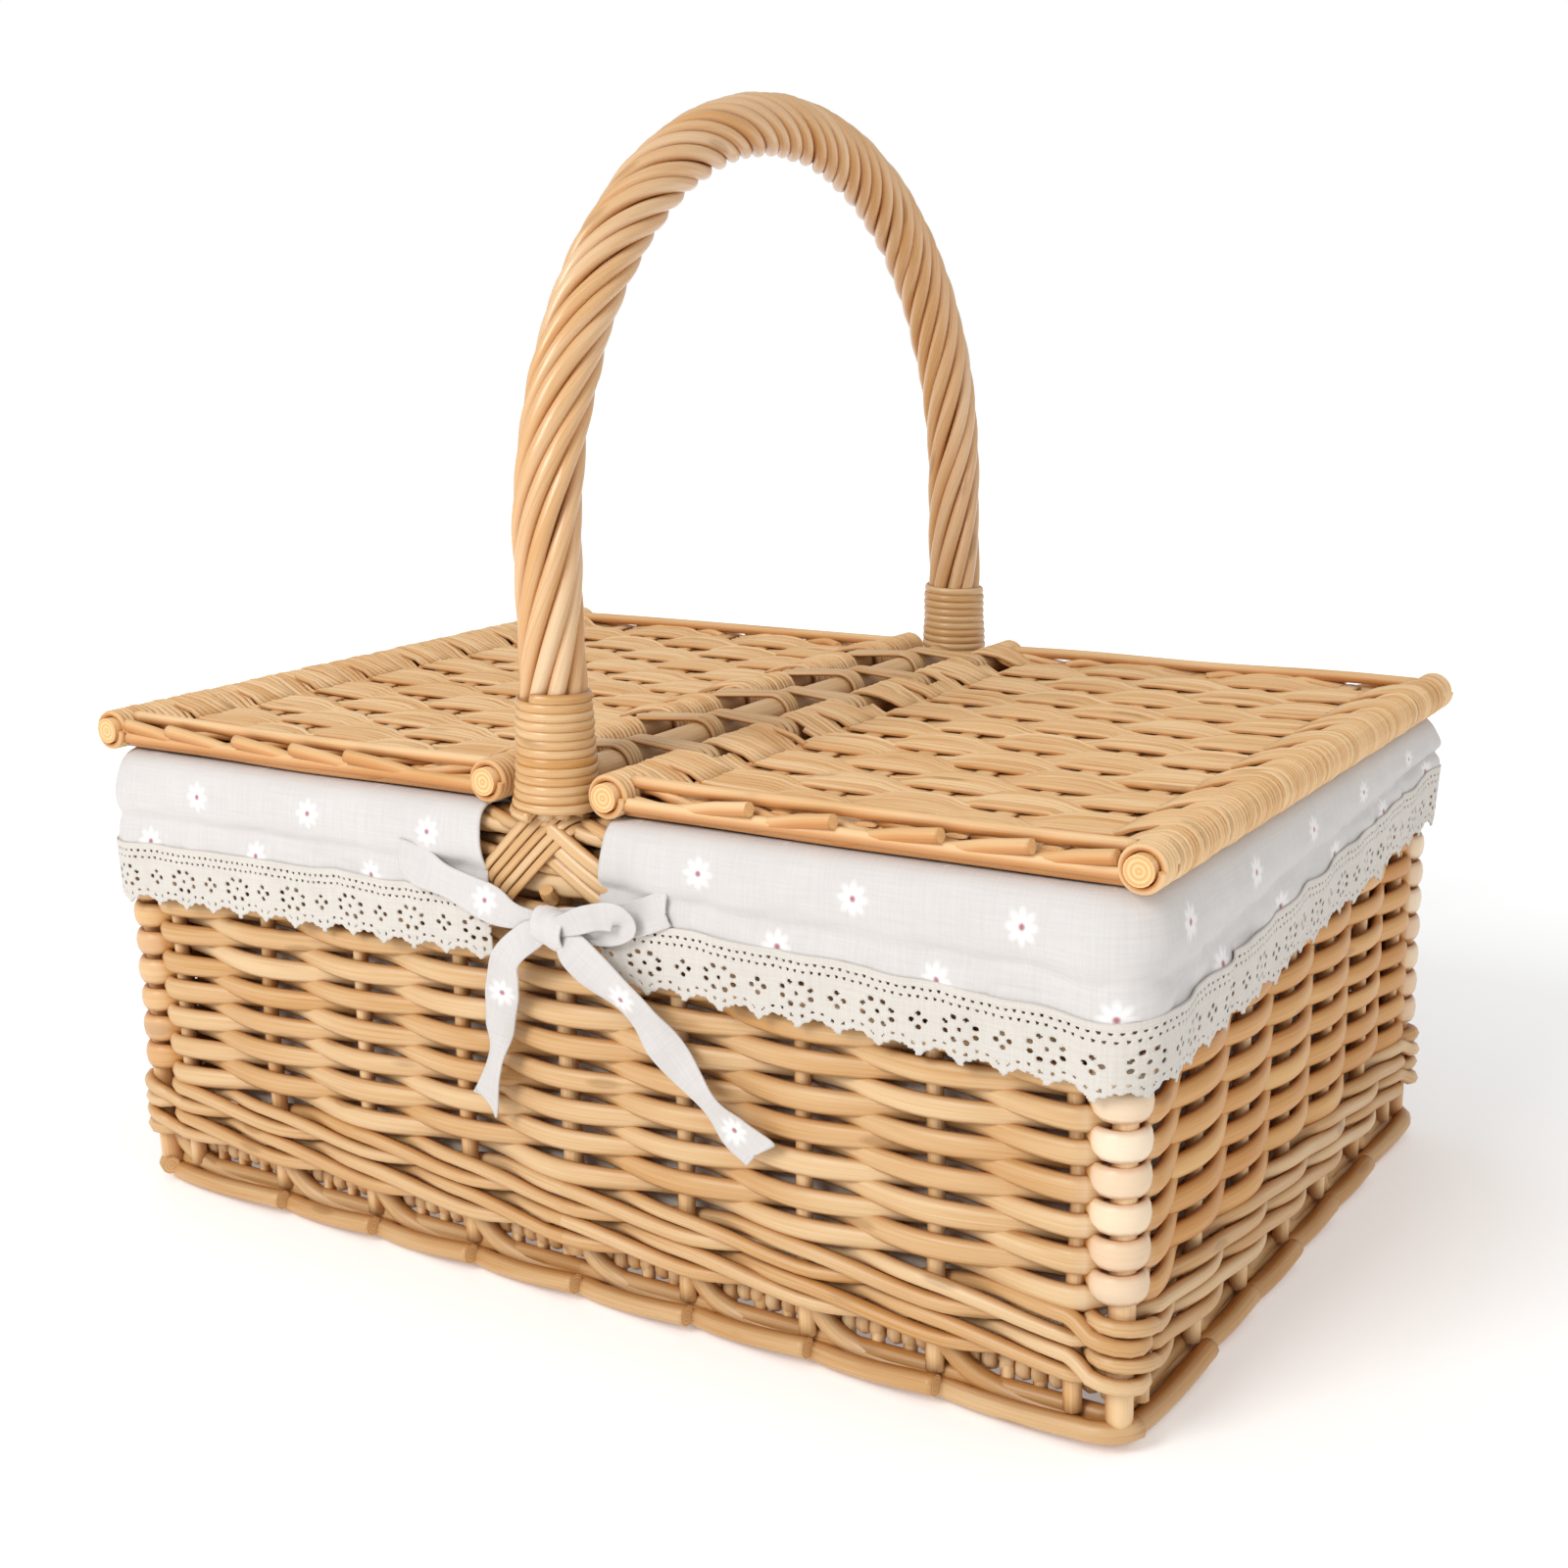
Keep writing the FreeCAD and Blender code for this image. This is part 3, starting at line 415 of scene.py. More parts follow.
# ---------------------------------------------------------------- materials
class Nodes:
    """A short way to write a material's nodes: each call adds a node and joins what is given to it."""

    def __init__(self, name):
        self.material = bpy.data.materials.new(name)
        self.material.use_nodes = True
        self.tree = self.material.node_tree
        self.shader = next(node for node in self.tree.nodes if node.type == "BSDF_PRINCIPLED")

    def add(self, kind, inputs=None, output=0, **options):
        """Add a node, set its options and inputs, and return one of its outputs."""
        node = self.tree.nodes.new(kind)
        for key, item in options.items():
            setattr(node, key, item)
        for key, item in (inputs or {}).items():
            self.join(item, node.inputs[key])
        return node.outputs[output]

    def join(self, item, socket):
        """Link an output to a socket, or set the socket's value."""
        if isinstance(item, bpy.types.NodeSocket):
            self.tree.links.new(item, socket)
        else:
            socket.default_value = item

    def maths(self, operation, first, second=0.0, third=0.0, clamp=False):
        """A Math node."""
        return self.add("ShaderNodeMath", {0: first, 1: second, 2: third}, operation=operation,
                        use_clamp=clamp)

    def times(self, first, second):
        """The product of two values."""
        return self.maths("MULTIPLY", first, second)

    def plus(self, first, second):
        """The sum of two values."""
        return self.maths("ADD", first, second)

    def less(self, first, second):
        """The first value less the second."""
        return self.maths("SUBTRACT", first, second)

    def mix(self, share, first, second, blend="MIX"):
        """A colour mix."""
        node = self.tree.nodes.new("ShaderNodeMix")
        node.data_type, node.blend_type = "RGBA", blend
        for key, item in (("Factor", share), ("A", first), ("B", second)):
            kind = "VALUE" if key == "Factor" else "RGBA"
            self.join(item, next(s for s in node.inputs if s.name == key and s.type == kind))
        return next(s for s in node.outputs if s.type == "RGBA")

    def spread(self, value, low_in, high_in, low_out=0.0, high_out=1.0):
        """A Map Range node."""
        return self.add("ShaderNodeMapRange", {0: value, 1: low_in, 2: high_in, 3: low_out, 4: high_out})

    def attribute(self, name):
        """A mesh attribute's value."""
        return self.add("ShaderNodeAttribute", output=2, attribute_name=name)

    def uv(self):
        """The two parts of the UV map, in metres."""
        place = self.add("ShaderNodeUVMap", uv_map="UVMap")
        split = self.tree.nodes.new("ShaderNodeSeparateXYZ")
        self.tree.links.new(place, split.inputs[0])
        return split.outputs[0], split.outputs[1]

    def noise(self, vector, scale, detail=2.0, roughness=0.5, kind="3D"):
        """A noise texture's value."""
        return self.add("ShaderNodeTexNoise", {"Vector": vector, "Scale": scale, "Detail": detail,
                                               "Roughness": roughness}, noise_dimensions=kind)

    def vector(self, x, y, z):
        """A vector of three values."""
        return self.add("ShaderNodeCombineXYZ", {0: x, 1: y, 2: z})

    def bump(self, height, strength, distance, normal=None):
        """A Bump node's normal."""
        inputs = {"Height": height, "Strength": strength, "Distance": distance}
        if normal is not None:
            inputs["Normal"] = normal
        return self.add("ShaderNodeBump", inputs)

    def finish(self, **sockets):
        """Join outputs or values to the shader's sockets, named with underscores for spaces."""
        for name, item in sockets.items():
            self.join(item, self.shader.inputs[name.replace("_", " ").title().replace("Ior", "IOR")])
        return self.material


def opaque(colour, scale=1.0):
    """A colour with its alpha, made darker or lighter by a scale."""
    return (*(min(1.0, part * scale) for part in colour[:3]), 1.0)


# Colour of the wraps round the corner posts: bleached fibre and a painted highlight.
BLEACH_AND_HIGHLIGHT = (0.92, 0.81, 0.64, 1.0)
# The liner's back, lighter and warmer than the cotton's front: painted light for the glimpses of it through
# the wall's gaps.
LINER_BACK_PAINTED_LIGHT, LINER_BACK_PAINTED_LIGHT_DEEP = (0.88, 0.79, 0.68, 1.0), (0.76, 0.67, 0.56, 1.0)
PETAL_WHITE, DAISY_EYE = (0.93, 0.92, 0.91, 1.0), (0.36, 0.06, 0.10, 1.0)


def willow(name, pale, deep, roughness=0.42, coat=0.12, fibre=1.0, cast=0.6, groove_shade_strength=0.9):
    """Peeled willow or cane along a rod: long fibres, slow changes of tone, bud marks, pale cut ends, painted
    shade on each rod's hidden side and in the grooves between rods, and a bleached colour near the corner
    posts that is partly a painted highlight.
    """
    n = Nodes(name)
    u, v = n.uv()
    shade = n.attribute("shade")
    cut = n.attribute("cut")
    far = n.times(shade, 37.0)
    fibres = n.noise(n.vector(n.times(u, 22.0), n.times(v, 1500.0 * fibre), far), 1.0, 3.0, 0.6)
    slow = n.noise(n.vector(n.times(u, 14.0), n.times(v, 70.0), far), 1.0, 2.0)
    buds = n.add("ShaderNodeTexVoronoi", {"Vector": n.vector(n.times(u, 24.0), n.times(v, 90.0), far),
                                          "Scale": 1.0}, feature="F1")
    mark = n.spread(buds, 0.10, 0.17, 1.0, 0.0)
    tone = n.plus(n.times(n.less(shade, 0.5), 0.5),
                  n.plus(n.times(n.less(slow, 0.5), 1.5), n.times(n.less(fibres, 0.5), 1.3)))
    tone = n.maths("ADD", tone, cast, clamp=True)
    colour = n.mix(tone, opaque(deep), opaque(pale))
    colour = n.mix(n.times(mark, 0.45), colour, opaque(deep, 0.55))
    # Bleached colour where weavers wrap round the corner posts, partly worn fibre and partly a painted
    # highlight.
    colour = n.mix(n.times(n.attribute("pale"), 0.8), colour, BLEACH_AND_HIGHLIGHT)
    # Painted shade: each rod darkens towards its hidden side and into the grooves beside its neighbours.
    colour = n.mix(n.spread(n.attribute("hollow"), 0.14, 0.62, 0.0, groove_shade_strength), colour,
                   (deep[0] * 0.80, deep[1] * 0.56, deep[2] * 0.30, 1.0))
    pith = n.maths("PINGPONG", n.times(n.maths("POWER", n.plus(n.times(u, u), n.times(v, v)), 0.5), 3.0), 0.5)
    grain = n.mix(n.spread(pith, 0.0, 0.5), opaque(pale, 1.08), opaque(deep, 1.25))
    colour = n.mix(cut, colour, grain)
    relief = n.plus(fibres, n.times(mark, -0.7))
    normal = n.bump(relief, 0.35, 0.25 * MM)
    return n.finish(base_color=colour,
                    roughness=n.spread(fibres, 0.2, 0.8, roughness - 0.07, roughness + 0.10),
                    normal=normal, coat_weight=coat, coat_roughness=0.3, specular_ior_level=0.45)


MATERIALS = {}


def make_materials():
    """Every finish of the basket, from the settings' colours."""
    tones, cloth = settings("willow"), settings("cloth")
    pale, deep = tuple(tones.pale), tuple(tones.deep)
    MATERIALS["wall"] = willow("Wall Willow", pale, deep)
    # Painted shade: the end walls take a darker, more saturated copy of the wall willow, standing for the
    # shade on them.
    MATERIALS["end"] = willow("End Wall Willow Painted Shade", (pale[0] * 1.01, pale[1] * 0.86, pale[2] * 0.57),
                              (deep[0] * 1.05, deep[1] * 0.9, deep[2] * 0.6), cast=0.55, groove_shade_strength=0.9)
    MATERIALS["tip"] = willow("Base Rod Tips", opaque(pale, 1.2), deep, cast=0.75, groove_shade_strength=0.95)
    MATERIALS["stake"] = willow("Stake Willow", opaque(pale, 1.12), opaque(deep, 1.1), cast=0.75, groove_shade_strength=0.6)
    MATERIALS["foot"] = willow("Foot Willow", opaque(pale, 0.97), opaque(deep, 0.95), cast=0.42)
    bright = (pale[0] * 1.04, pale[1] * 1.05, pale[2] * 1.16)
    MATERIALS["handle"] = willow("Handle Rods", bright, opaque(deep, 1.15), roughness=0.28, coat=0.45,
                                 cast=0.6, groove_shade_strength=0.65)
    MATERIALS["cane"] = willow("Cane Binding", opaque(pale, 1.02), opaque(deep, 1.05), roughness=0.33,
                               coat=0.25, cast=0.5)
    MATERIALS["lid"] = willow("Lid Willow", opaque(pale, 1.17), opaque(deep, 1.15), roughness=0.5, coat=0.05,
                              fibre=1.6, cast=0.70, groove_shade_strength=0.75)
    MATERIALS["cloth"] = cloth_material("Liner Cotton", cloth.cloth, opaque(cloth.cloth, 0.86), True)
    # Back of the liner: a lighter, warmer cotton that paints light into the shaded gaps of the wall.
    MATERIALS["plain"] = cloth_material("Liner Cotton Back Painted Light", LINER_BACK_PAINTED_LIGHT, LINER_BACK_PAINTED_LIGHT_DEEP, False)
    MATERIALS["ribbon"] = cloth_material("Ribbon Cotton", cloth.cloth, opaque(cloth.cloth, 0.86), True)
    MATERIALS["lace"] = cloth_material("Cotton Lace", cloth.lace, opaque(cloth.lace, 0.82), False, 0.9 * MM,
                                       1.6)


# ---------------------------------------------------------------- walls
def stake_levels(outer, inner):
    """How far out and how far in a rod passes each stake; it goes further round a post or a handle's end."""
    post_back = CORNER_BEND * (math.sqrt(2) - 1)
    core = np.isin(np.arange(len(STAKES)), (0, len(STAKES) // 2))
    round_post = outer + POST_RADIUS - STAKE_RADIUS + post_back - 1.0 * MM
    out = np.where(IS_POST, round_post, np.where(core, outer + 1.0 * MM, outer))
    into = np.where(IS_POST, inner - post_back + 1.2 * MM, inner)
    return out, -into


def pass_levels(count, in_front, outer, inner):
    """Offsets of rods at stake counts: half cosine waves between an outer and an inner level at each stake.

    in_front is a function of a whole stake number that says for each rod whether it passes outside that
    stake.
    """
    out, into = stake_levels(outer, inner)
    whole = np.floor(count).astype(int)
    first = np.where(in_front(whole), out[whole % len(STAKES)], into[whole % len(STAKES)])
    second = np.where(in_front(whole + 1), out[(whole + 1) % len(STAKES)], into[(whole + 1) % len(STAKES)])
    return first + (second - first) * smooth(count - whole)


POST_WRAP = 8.5 * MM


def wall_rods(bundle, rows, heights, first, last, size, random):
    """Weavers of one wall: each row passes outside every second stake, and neighbours take turns."""
    walk, count = bays(first, last)
    reach = size.weaver_depth / 2 + STAKE_RADIUS
    offset = pass_levels(count[None], lambda stake: (rows[:, None] + stake) % 2 == 0, reach * 0.80,
                         reach * 0.84)
    sway = ripple(random, walk, 0.16, len(rows)) * 0.35 * MM
    points, out = wall_line(walk[None], offset, heights[:, None] + sway)
    rounds = np.array([[-1], [0], [1]]) * len(STAKES)
    posts = stake_walk(np.flatnonzero(IS_POST)[None] + rounds).ravel()
    away = np.abs(walk[:, None] - posts).min(1)
    wrap = np.exp(-(away / POST_WRAP) ** 4) * (offset > 2 * MM)
    swell = 1 + 0.05 * ripple(random, walk, 0.25, len(rows))
    tall = swell * (1 + 0.15 * np.clip(offset / (4.5 * MM), -1, 1) + 0.25 * wrap)
    deep = size.weaver_depth / 2 * swell * (1 - 0.12 * wrap)
    shades = random.uniform(0, 1, len(rows))
    # Bleach and painted highlight on the wraps round the corner posts, stronger at the right-hand posts than
    # the left.
    pale = wrap * random.uniform(0.55, 1.0, (len(rows), 1)) * (0.3 + 0.7 * (points[..., 0] > 0))
    carry(bundle, points, size.weaver_height / 2 * tall, deep, out, 10, shades, pale=pale)


def build_walls():
    """Four woven walls between the corner posts; a rod starts and ends where a stake or post hides it."""
    size = settings("willow")
    random = np.random.default_rng(4)
    count = int(round((WEAVE_TOP - WEAVE_LOW) / size.row_pitch))
    heights = WEAVE_LOW + (np.arange(count) + 0.5) * (WEAVE_TOP - WEAVE_LOW) / count
    rows = np.arange(count)
    spans = {"front": (FRONT_LEFT - len(STAKES), FRONT_RIGHT, 1), "right": (FRONT_RIGHT, BACK_RIGHT, -1),
             "back": (BACK_RIGHT, BACK_LEFT, 1), "left": (BACK_LEFT, FRONT_LEFT, -1)}
    for wall, (first, last, step) in spans.items():
        bundle = Bundle()
        wall_rods(bundle, rows[::2], heights[::2], first, last, size, random)
        wall_rods(bundle, rows[1::2], heights[1::2], first + step, last - step, size, random)
        # The end walls use the darker copy of the willow, which is painted shade.
        finish = "end" if wall in ("left", "right") else "wall"
        piece(f"{wall}_wall_weave", bundle, finish, "basket", (f"{wall}_weave",))


def upright_rods(bundle, places, radius, bottom, top, random, lean=0.5 * MM, sides=10):
    """Upright rods at places (n, 2), a little bent and tapered towards the top."""
    height = np.linspace(bottom, top, 24)
    drift = ripple(random, height, 0.12, 2 * len(places)).reshape(2, len(places), -1) * lean
    paths = points_of(places[:, 0, None] + drift[0], places[:, 1, None] + drift[1], height)
    taper = np.linspace(1.04, 0.9, len(height))
    outward = unit(np.concatenate([places, np.zeros((len(places), 1))], 1))[:, None]
    carry(bundle, paths, radius * taper, radius * taper, outward, sides, random.uniform(0.2, 1, len(places)))


def build_stakes():
    """Stakes of the four walls and the corner posts."""
    random = np.random.default_rng(5)
    walls = {"front": (-LONG_BAYS, LONG_BAYS + 1), "right": (FRONT_RIGHT + 1, BACK_RIGHT),
             "back": (BACK_RIGHT + 1, BACK_LEFT), "left": (BACK_LEFT + 1, FRONT_LEFT)}
    for wall, (first, last) in walls.items():
        numbers = np.arange(first, last)
        numbers = numbers[~np.isin(numbers % len(STAKES), (0, len(STAKES) // 2))]
        places = wall_line(stake_walk(numbers), 0 * numbers, 0.0)[0][:, :2]
        bundle = Bundle()
        upright_rods(bundle, places, STAKE_RADIUS * 1.08, FOOT_TOP, RIM_LOW, random)
        piece(f"{wall}_stake_rods", bundle, "stake", "basket", (f"{wall}_stakes",))
    bundle = Bundle()
    corners = np.array([(sx * WALL_X, sy * WALL_Y) for sx in (-1, 1) for sy in (-1, 1)])
    upright_rods(bundle, corners, POST_RADIUS * 0.96, FOOT_TOP - 4 * MM, RIM_LOW, random, sides=14)
    piece("corner_post_rods", bundle, "stake", "basket", ("corner_posts",))


# ---------------------------------------------------------------- wales, rim and foot
def wale(bundle, height, rise, radius, random):
    """One round of a three-rod wale: each rod sinks outside two stakes and then rises behind one."""
    walk, count = bays(0, len(STAKES), 8)
    walk, count = walk[:-1], count[:-1]
    strand = np.arange(3)[:, None]
    offset = pass_levels(count[None], lambda stake: (stake + strand) % 3 != 0, radius + STAKE_RADIUS * 0.95,
                         radius + STAKE_RADIUS * 0.85)
    step = np.mod(count[None] + strand, 3)
    lift = -rise * 1.15 * np.sin(TURN * (step - 1.5) / 3) + ripple(random, walk, 0.2, 3) * 0.25 * MM
    points, out = wall_line(walk[None], offset, height + lift)
    swell = 1 + 0.06 * ripple(random, walk, 0.2, 3)
    carry(bundle, points, radius * swell, radius * swell, out, 8, random.uniform(0, 1, 3), closed=True)


def build_wales():
    """The foot wale of two rounds and the top wale of one."""
    size = settings("willow")
    random = np.random.default_rng(6)
    radius = size.wale_diameter / 2
    low_wale = Bundle()
    half = (WALE_TOP - WALE_LOW) / 2
    for number in range(2):
        wale(low_wale, WALE_LOW + half * (number + 0.5), half / 2 - radius, radius, random)
    piece("foot_wale", low_wale, "wall", "basket", ("bottom_waling",))
    top_wale = Bundle()
    half = (TOP_WALE_TOP - TOP_WALE_LOW) / 2
    wale(top_wale, TOP_WALE_LOW + half, half / 2, half / 2, random)
    piece("top_wale", top_wale, "wall", "basket", ("top_waling",))


def build_rim():
    """The rim border: five strands twisted together round the wall's top, like a flat rope."""
    random = np.random.default_rng(7)
    strands = 5
    walk = np.linspace(0, ROUND, 421)[:-1]
    turns = 20
    half = (RIM_TOP - RIM_LOW) / 2
    angle = -TURN * turns * walk / ROUND + TURN * np.arange(strands)[:, None] / strands
    radius = 2.2 * MM
    offset = (6.5 * MM - radius) * np.cos(angle)
    height = RIM_LOW + half + (half - radius) * np.sin(angle) + ripple(random, walk, 0.2, strands) * 0.2 * MM
    points, out = wall_line(walk[None], offset, height)
    bundle = Bundle()
    carry(bundle, points, radius * 1.05, radius, out, 8, random.uniform(0, 1, strands), closed=True)
    piece("rim_plait", bundle, "wall", "basket", ("rim_border",))


def build_foot():
    """The foot border: each rod comes down at a stake, bends along the ground and ends cut, two bays on."""
    random = np.random.default_rng(8)
    skip = np.concatenate([np.flatnonzero(IS_POST) + 1, np.flatnonzero(IS_POST) - 1])
    numbers = np.setdiff1d(np.arange(len(STAKES)), skip)
    starts = STAKES[numbers]
    after = np.roll(starts, -1)
    after[-1] += ROUND
    second = np.roll(after, -1)
    second[-1] += ROUND
    step = np.linspace(0, 2.06, 44)
    walk = starts[:, None] + np.where(step < 1, (after - starts)[:, None] * step,
                                      (after - starts)[:, None] + (second - after)[:, None] * (step - 1))
    radius = 3.3 * MM
    drop = np.interp(step, [0, 0.07, 0.17, 0.35, 0.6, 1.05, 1.5, 2.06],
                     np.array([23, 16.5, 10.5, 6.6, 4.4, 3.5, 4.0, 6.2]) * MM)
    away = np.interp(step, [0, 0.12, 0.3, 0.6, 0.95, 1.25, 1.7, 2.06],
                     np.array([-0.6, -1.2, -2.4, -2.8, -0.6, 2.4, 4.3, 5.0]) * MM)
    kernel = np.array([1, 2, 3, 2, 1]) / 9

    def soften(line):
        return np.convolve(np.pad(line, 2, "edge"), kernel, "valid")

    jitter = random.normal(0, 0.3 * MM, (len(starts), 1))
    points, out = wall_line(walk, soften(away)[None] + jitter, soften(drop)[None] + np.abs(jitter))
    bundle = Bundle()
    carry(bundle, points, radius, radius, out, 10, random.uniform(0, 1, len(starts)))
    ring = np.linspace(0, ROUND, 260)[:-1]
    for inner, height in ((-4.2, 3.1), (-3.0, 7.6)):
        offset = inner * MM + ripple(random, ring, 0.3)[0] * 0.2 * MM
        path, out = wall_line(ring[None], offset, height * MM + 0 * ring[None])
        carry(bundle, path, 2.9 * MM, 2.9 * MM, out, 8, 0.2, closed=True)
    piece("foot_border_rods", bundle, "foot", "basket", ("foot_border",))


# ---------------------------------------------------------------- handle
def handle_line(walk):
    """Points, tangents and outward directions of the handle's line: leg, half circle, leg, from the front."""
    leg = ARCH_Z - RIM_TOP
    arc = math.pi * WALL_Y
    angle = np.clip((walk - leg) / WALL_Y, 0, math.pi)
    fall = np.clip(walk - leg - arc, 0, None)
    z = np.minimum(RIM_TOP + walk, ARCH_Z) + WALL_Y * np.sin(angle) - fall
    y = -WALL_Y * np.cos(angle)
    zero = np.zeros_like(walk)
    tangent = points_of(zero, np.sin(angle), np.cos(angle))
    return points_of(zero, y, z), tangent, points_of(zero, -np.cos(angle), np.sin(angle))


def build_handle():
    """Rods twisted round the handle's core: a rod's angle grows by tan(tilt) / radius along the walk."""
    size = settings("willow")
    random = np.random.default_rng(9)
    rods = size.handle_rods
    radius = size.handle_rod_diameter / 2
    length = 2 * (ARCH_Z - RIM_TOP) + math.pi * WALL_Y
    walk = np.linspace(0, length, 240)
    middle, tangent, out = handle_line(walk)
    along_x = np.cross(tangent, out)
    slip = ripple(random, walk, 0.12, rods) * 0.05
    tilt = np.radians(np.interp(walk / length, [0, 0.12, 0.28, 0.5, 0.62, 0.8, 1],
                                [15, 17, 24, 34, 31, 20, 10]))
    step = walk[1] - walk[0]
    wind = np.cumsum(np.tan(tilt)) * step / (HANDLE_RADIUS - radius) * USUAL_LAY * MM / size.handle_lay
    angle = wind + TURN * np.arange(rods)[:, None] / rods + slip
    radial = np.cos(angle)[..., None] * out + np.sin(angle)[..., None] * along_x
    ride_out = HANDLE_RADIUS - radius + ripple(random, walk, 0.1, rods) * 0.18 * MM
    bundle = Bundle()
    wide = radius * np.cos(tilt) * 1.05 * (1 + 0.06 * ripple(random, walk, 0.2, rods))
    carry(bundle, middle + radial * ride_out[..., None], wide, radius * 0.96, radial, 12,
          random.uniform(0.25, 0.85, rods))
    piece("handle_twist", bundle, "handle", "basket", ("handle_wrap",))
    ends = Bundle()
    core = HANDLE_RADIUS - 1.85 * radius
    carry(ends, middle[None], core, core, out[None], 12, 0.4)
    places = np.array([(0.0, -WALL_Y), (0.0, WALL_Y)])
    upright_rods(ends, places, 3.3 * MM, FOOT_TOP + 6 * MM, RIM_TOP + 6 * MM, random, lean=0.3 * MM)
    piece("handle_ends", ends, "stake", "basket", ("handle_core",))


def build_collars():
    """Cane wound round each foot of the handle: one long helix that widens towards the rim."""
    random = np.random.default_rng(10)
    rounds = 13
    for end, sign in (("front", -1), ("back", 1)):
        turns = np.linspace(0, rounds, rounds * 36 + 1)
        height = COLLAR_TOP - 1.6 * MM - (COLLAR_TOP - RIM_TOP - 3 * MM) * turns / rounds
        share = (COLLAR_TOP - height) / (COLLAR_TOP - RIM_TOP)
        spread = 10.9 * MM + 1.2 * MM * share + 2.4 * MM * share ** 6
        spread = spread + ripple(random, turns, 3.0)[0] * 0.12 * MM
        angle = TURN * turns + (0 if sign < 0 else math.pi)
        radial = points_of(np.sin(angle), -np.cos(angle), 0 * angle)
        path = radial * spread[:, None] + points_of(0 * height, sign * WALL_Y + 0 * height, height)
        bundle = Bundle()
        carry(bundle, path[None], 1.62 * MM, 0.95 * MM, radial[None], 8, 0.5 + 0.2 * sign)
        piece(f"{end}_collar_cane", bundle, "cane", "basket", (f"{end}_collar",))


# ---------------------------------------------------------------- stage
CAMERA_PLACE = (0.3902, -0.6232, 0.3146)
LIGHTS_AIM = (0, 0, 0.15)
FLOOR_REACH = 6.0
SENSOR = 36.0


def area_light(name, power, size, place, target):
    """A square soft light at a place, facing a target."""
    data = bpy.data.lights.new(name, "AREA")
    data.energy, data.size = power, size
    item = bpy.data.objects.new(name, data)
    bpy.context.scene.collection.objects.link(item)
    back = unit(np.array(place, float) - np.array(target, float))
    side = unit(np.cross(UP, back))
    turn = np.stack([side, np.cross(back, side), back], 1)
    item.matrix_world = Matrix.Translation(place) @ Matrix(turn.tolist()).to_4x4()


def build_stage():
    """A plain pale floor that glows, painted light which lifts the basket's cast shadow and grows brighter
    further out; even light, two soft lights and the camera.
    """
    stage = settings("stage")
    scene = bpy.context.scene
    floor = bpy.data.meshes.new("floor")
    corners = [(x * FLOOR_REACH, y * FLOOR_REACH, 0) for x, y in ((-1, -1), (1, -1), (1, 1), (-1, 1))]
    floor.from_pydata(corners, [], [(0, 1, 2, 3)])
    n = Nodes("Floor Paper")
    place = n.add("ShaderNodeTexCoord", output=3)
    distance = n.add("ShaderNodeVectorMath", {0: place}, output=1, operation="LENGTH")
    paper = n.mix(n.noise(place, 3.0), opaque((0.93, 0.93, 0.93)), opaque((0.95, 0.95, 0.95)))
    # Painted light: the floor glows, softly near the basket to lighten its shadow and more strongly further
    # out.
    painted_light_glow = n.spread(distance, 0.25, 1.2, 0.22, 0.55)
    floor.materials.append(n.finish(base_color=paper, roughness=0.8, emission_color=(1, 1, 1, 1),
                                    emission_strength=painted_light_glow))
    item = bpy.data.objects.new("floor", floor)
    scene.collection.objects.link(item)
    world = scene.world or bpy.data.worlds.new("Studio")
    scene.world = world
    world.use_nodes = True
    tree = world.node_tree
    background = next(node for node in tree.nodes if node.type == "BACKGROUND")
    background.inputs["Color"].default_value = (1, 1, 1, 1)
    seen = tree.nodes.new("ShaderNodeLightPath")
    strength = tree.nodes.new("ShaderNodeMapRange")
    strength.inputs["To Min"].default_value = stage.sky
    strength.inputs["To Max"].default_value = 1.0
    tree.links.new(seen.outputs["Is Camera Ray"], strength.inputs["Value"])
    tree.links.new(strength.outputs["Result"], background.inputs["Strength"])
    scene.view_settings.view_transform = "Standard"
    area_light("key", stage.key_power, 0.7, (-0.25, -1.42, 1.12), LIGHTS_AIM)
    area_light("fill", stage.fill_power, 1.2, (1.4, -0.3, 0.9), LIGHTS_AIM)
    camera_data = bpy.data.cameras.new("camera")
    camera_data.lens, camera_data.sensor_width = stage.lens, SENSOR
    camera = bpy.data.objects.new("camera", camera_data)
    scene.collection.objects.link(camera)
    scene.camera = camera
    a, e = stage.azimuth, stage.elevation
    back = np.array([math.sin(a) * math.cos(e), -math.cos(a) * math.cos(e), math.sin(e)])
    right = unit(np.cross(-back, UP))
    above = np.cross(right, -back)
    c, s = math.cos(stage.roll), math.sin(stage.roll)
    turned = np.stack([c * right + s * above, c * above - s * right, back], 1)
    camera.matrix_world = Matrix.Translation(CAMERA_PLACE) @ Matrix(turned.tolist()).to_4x4()


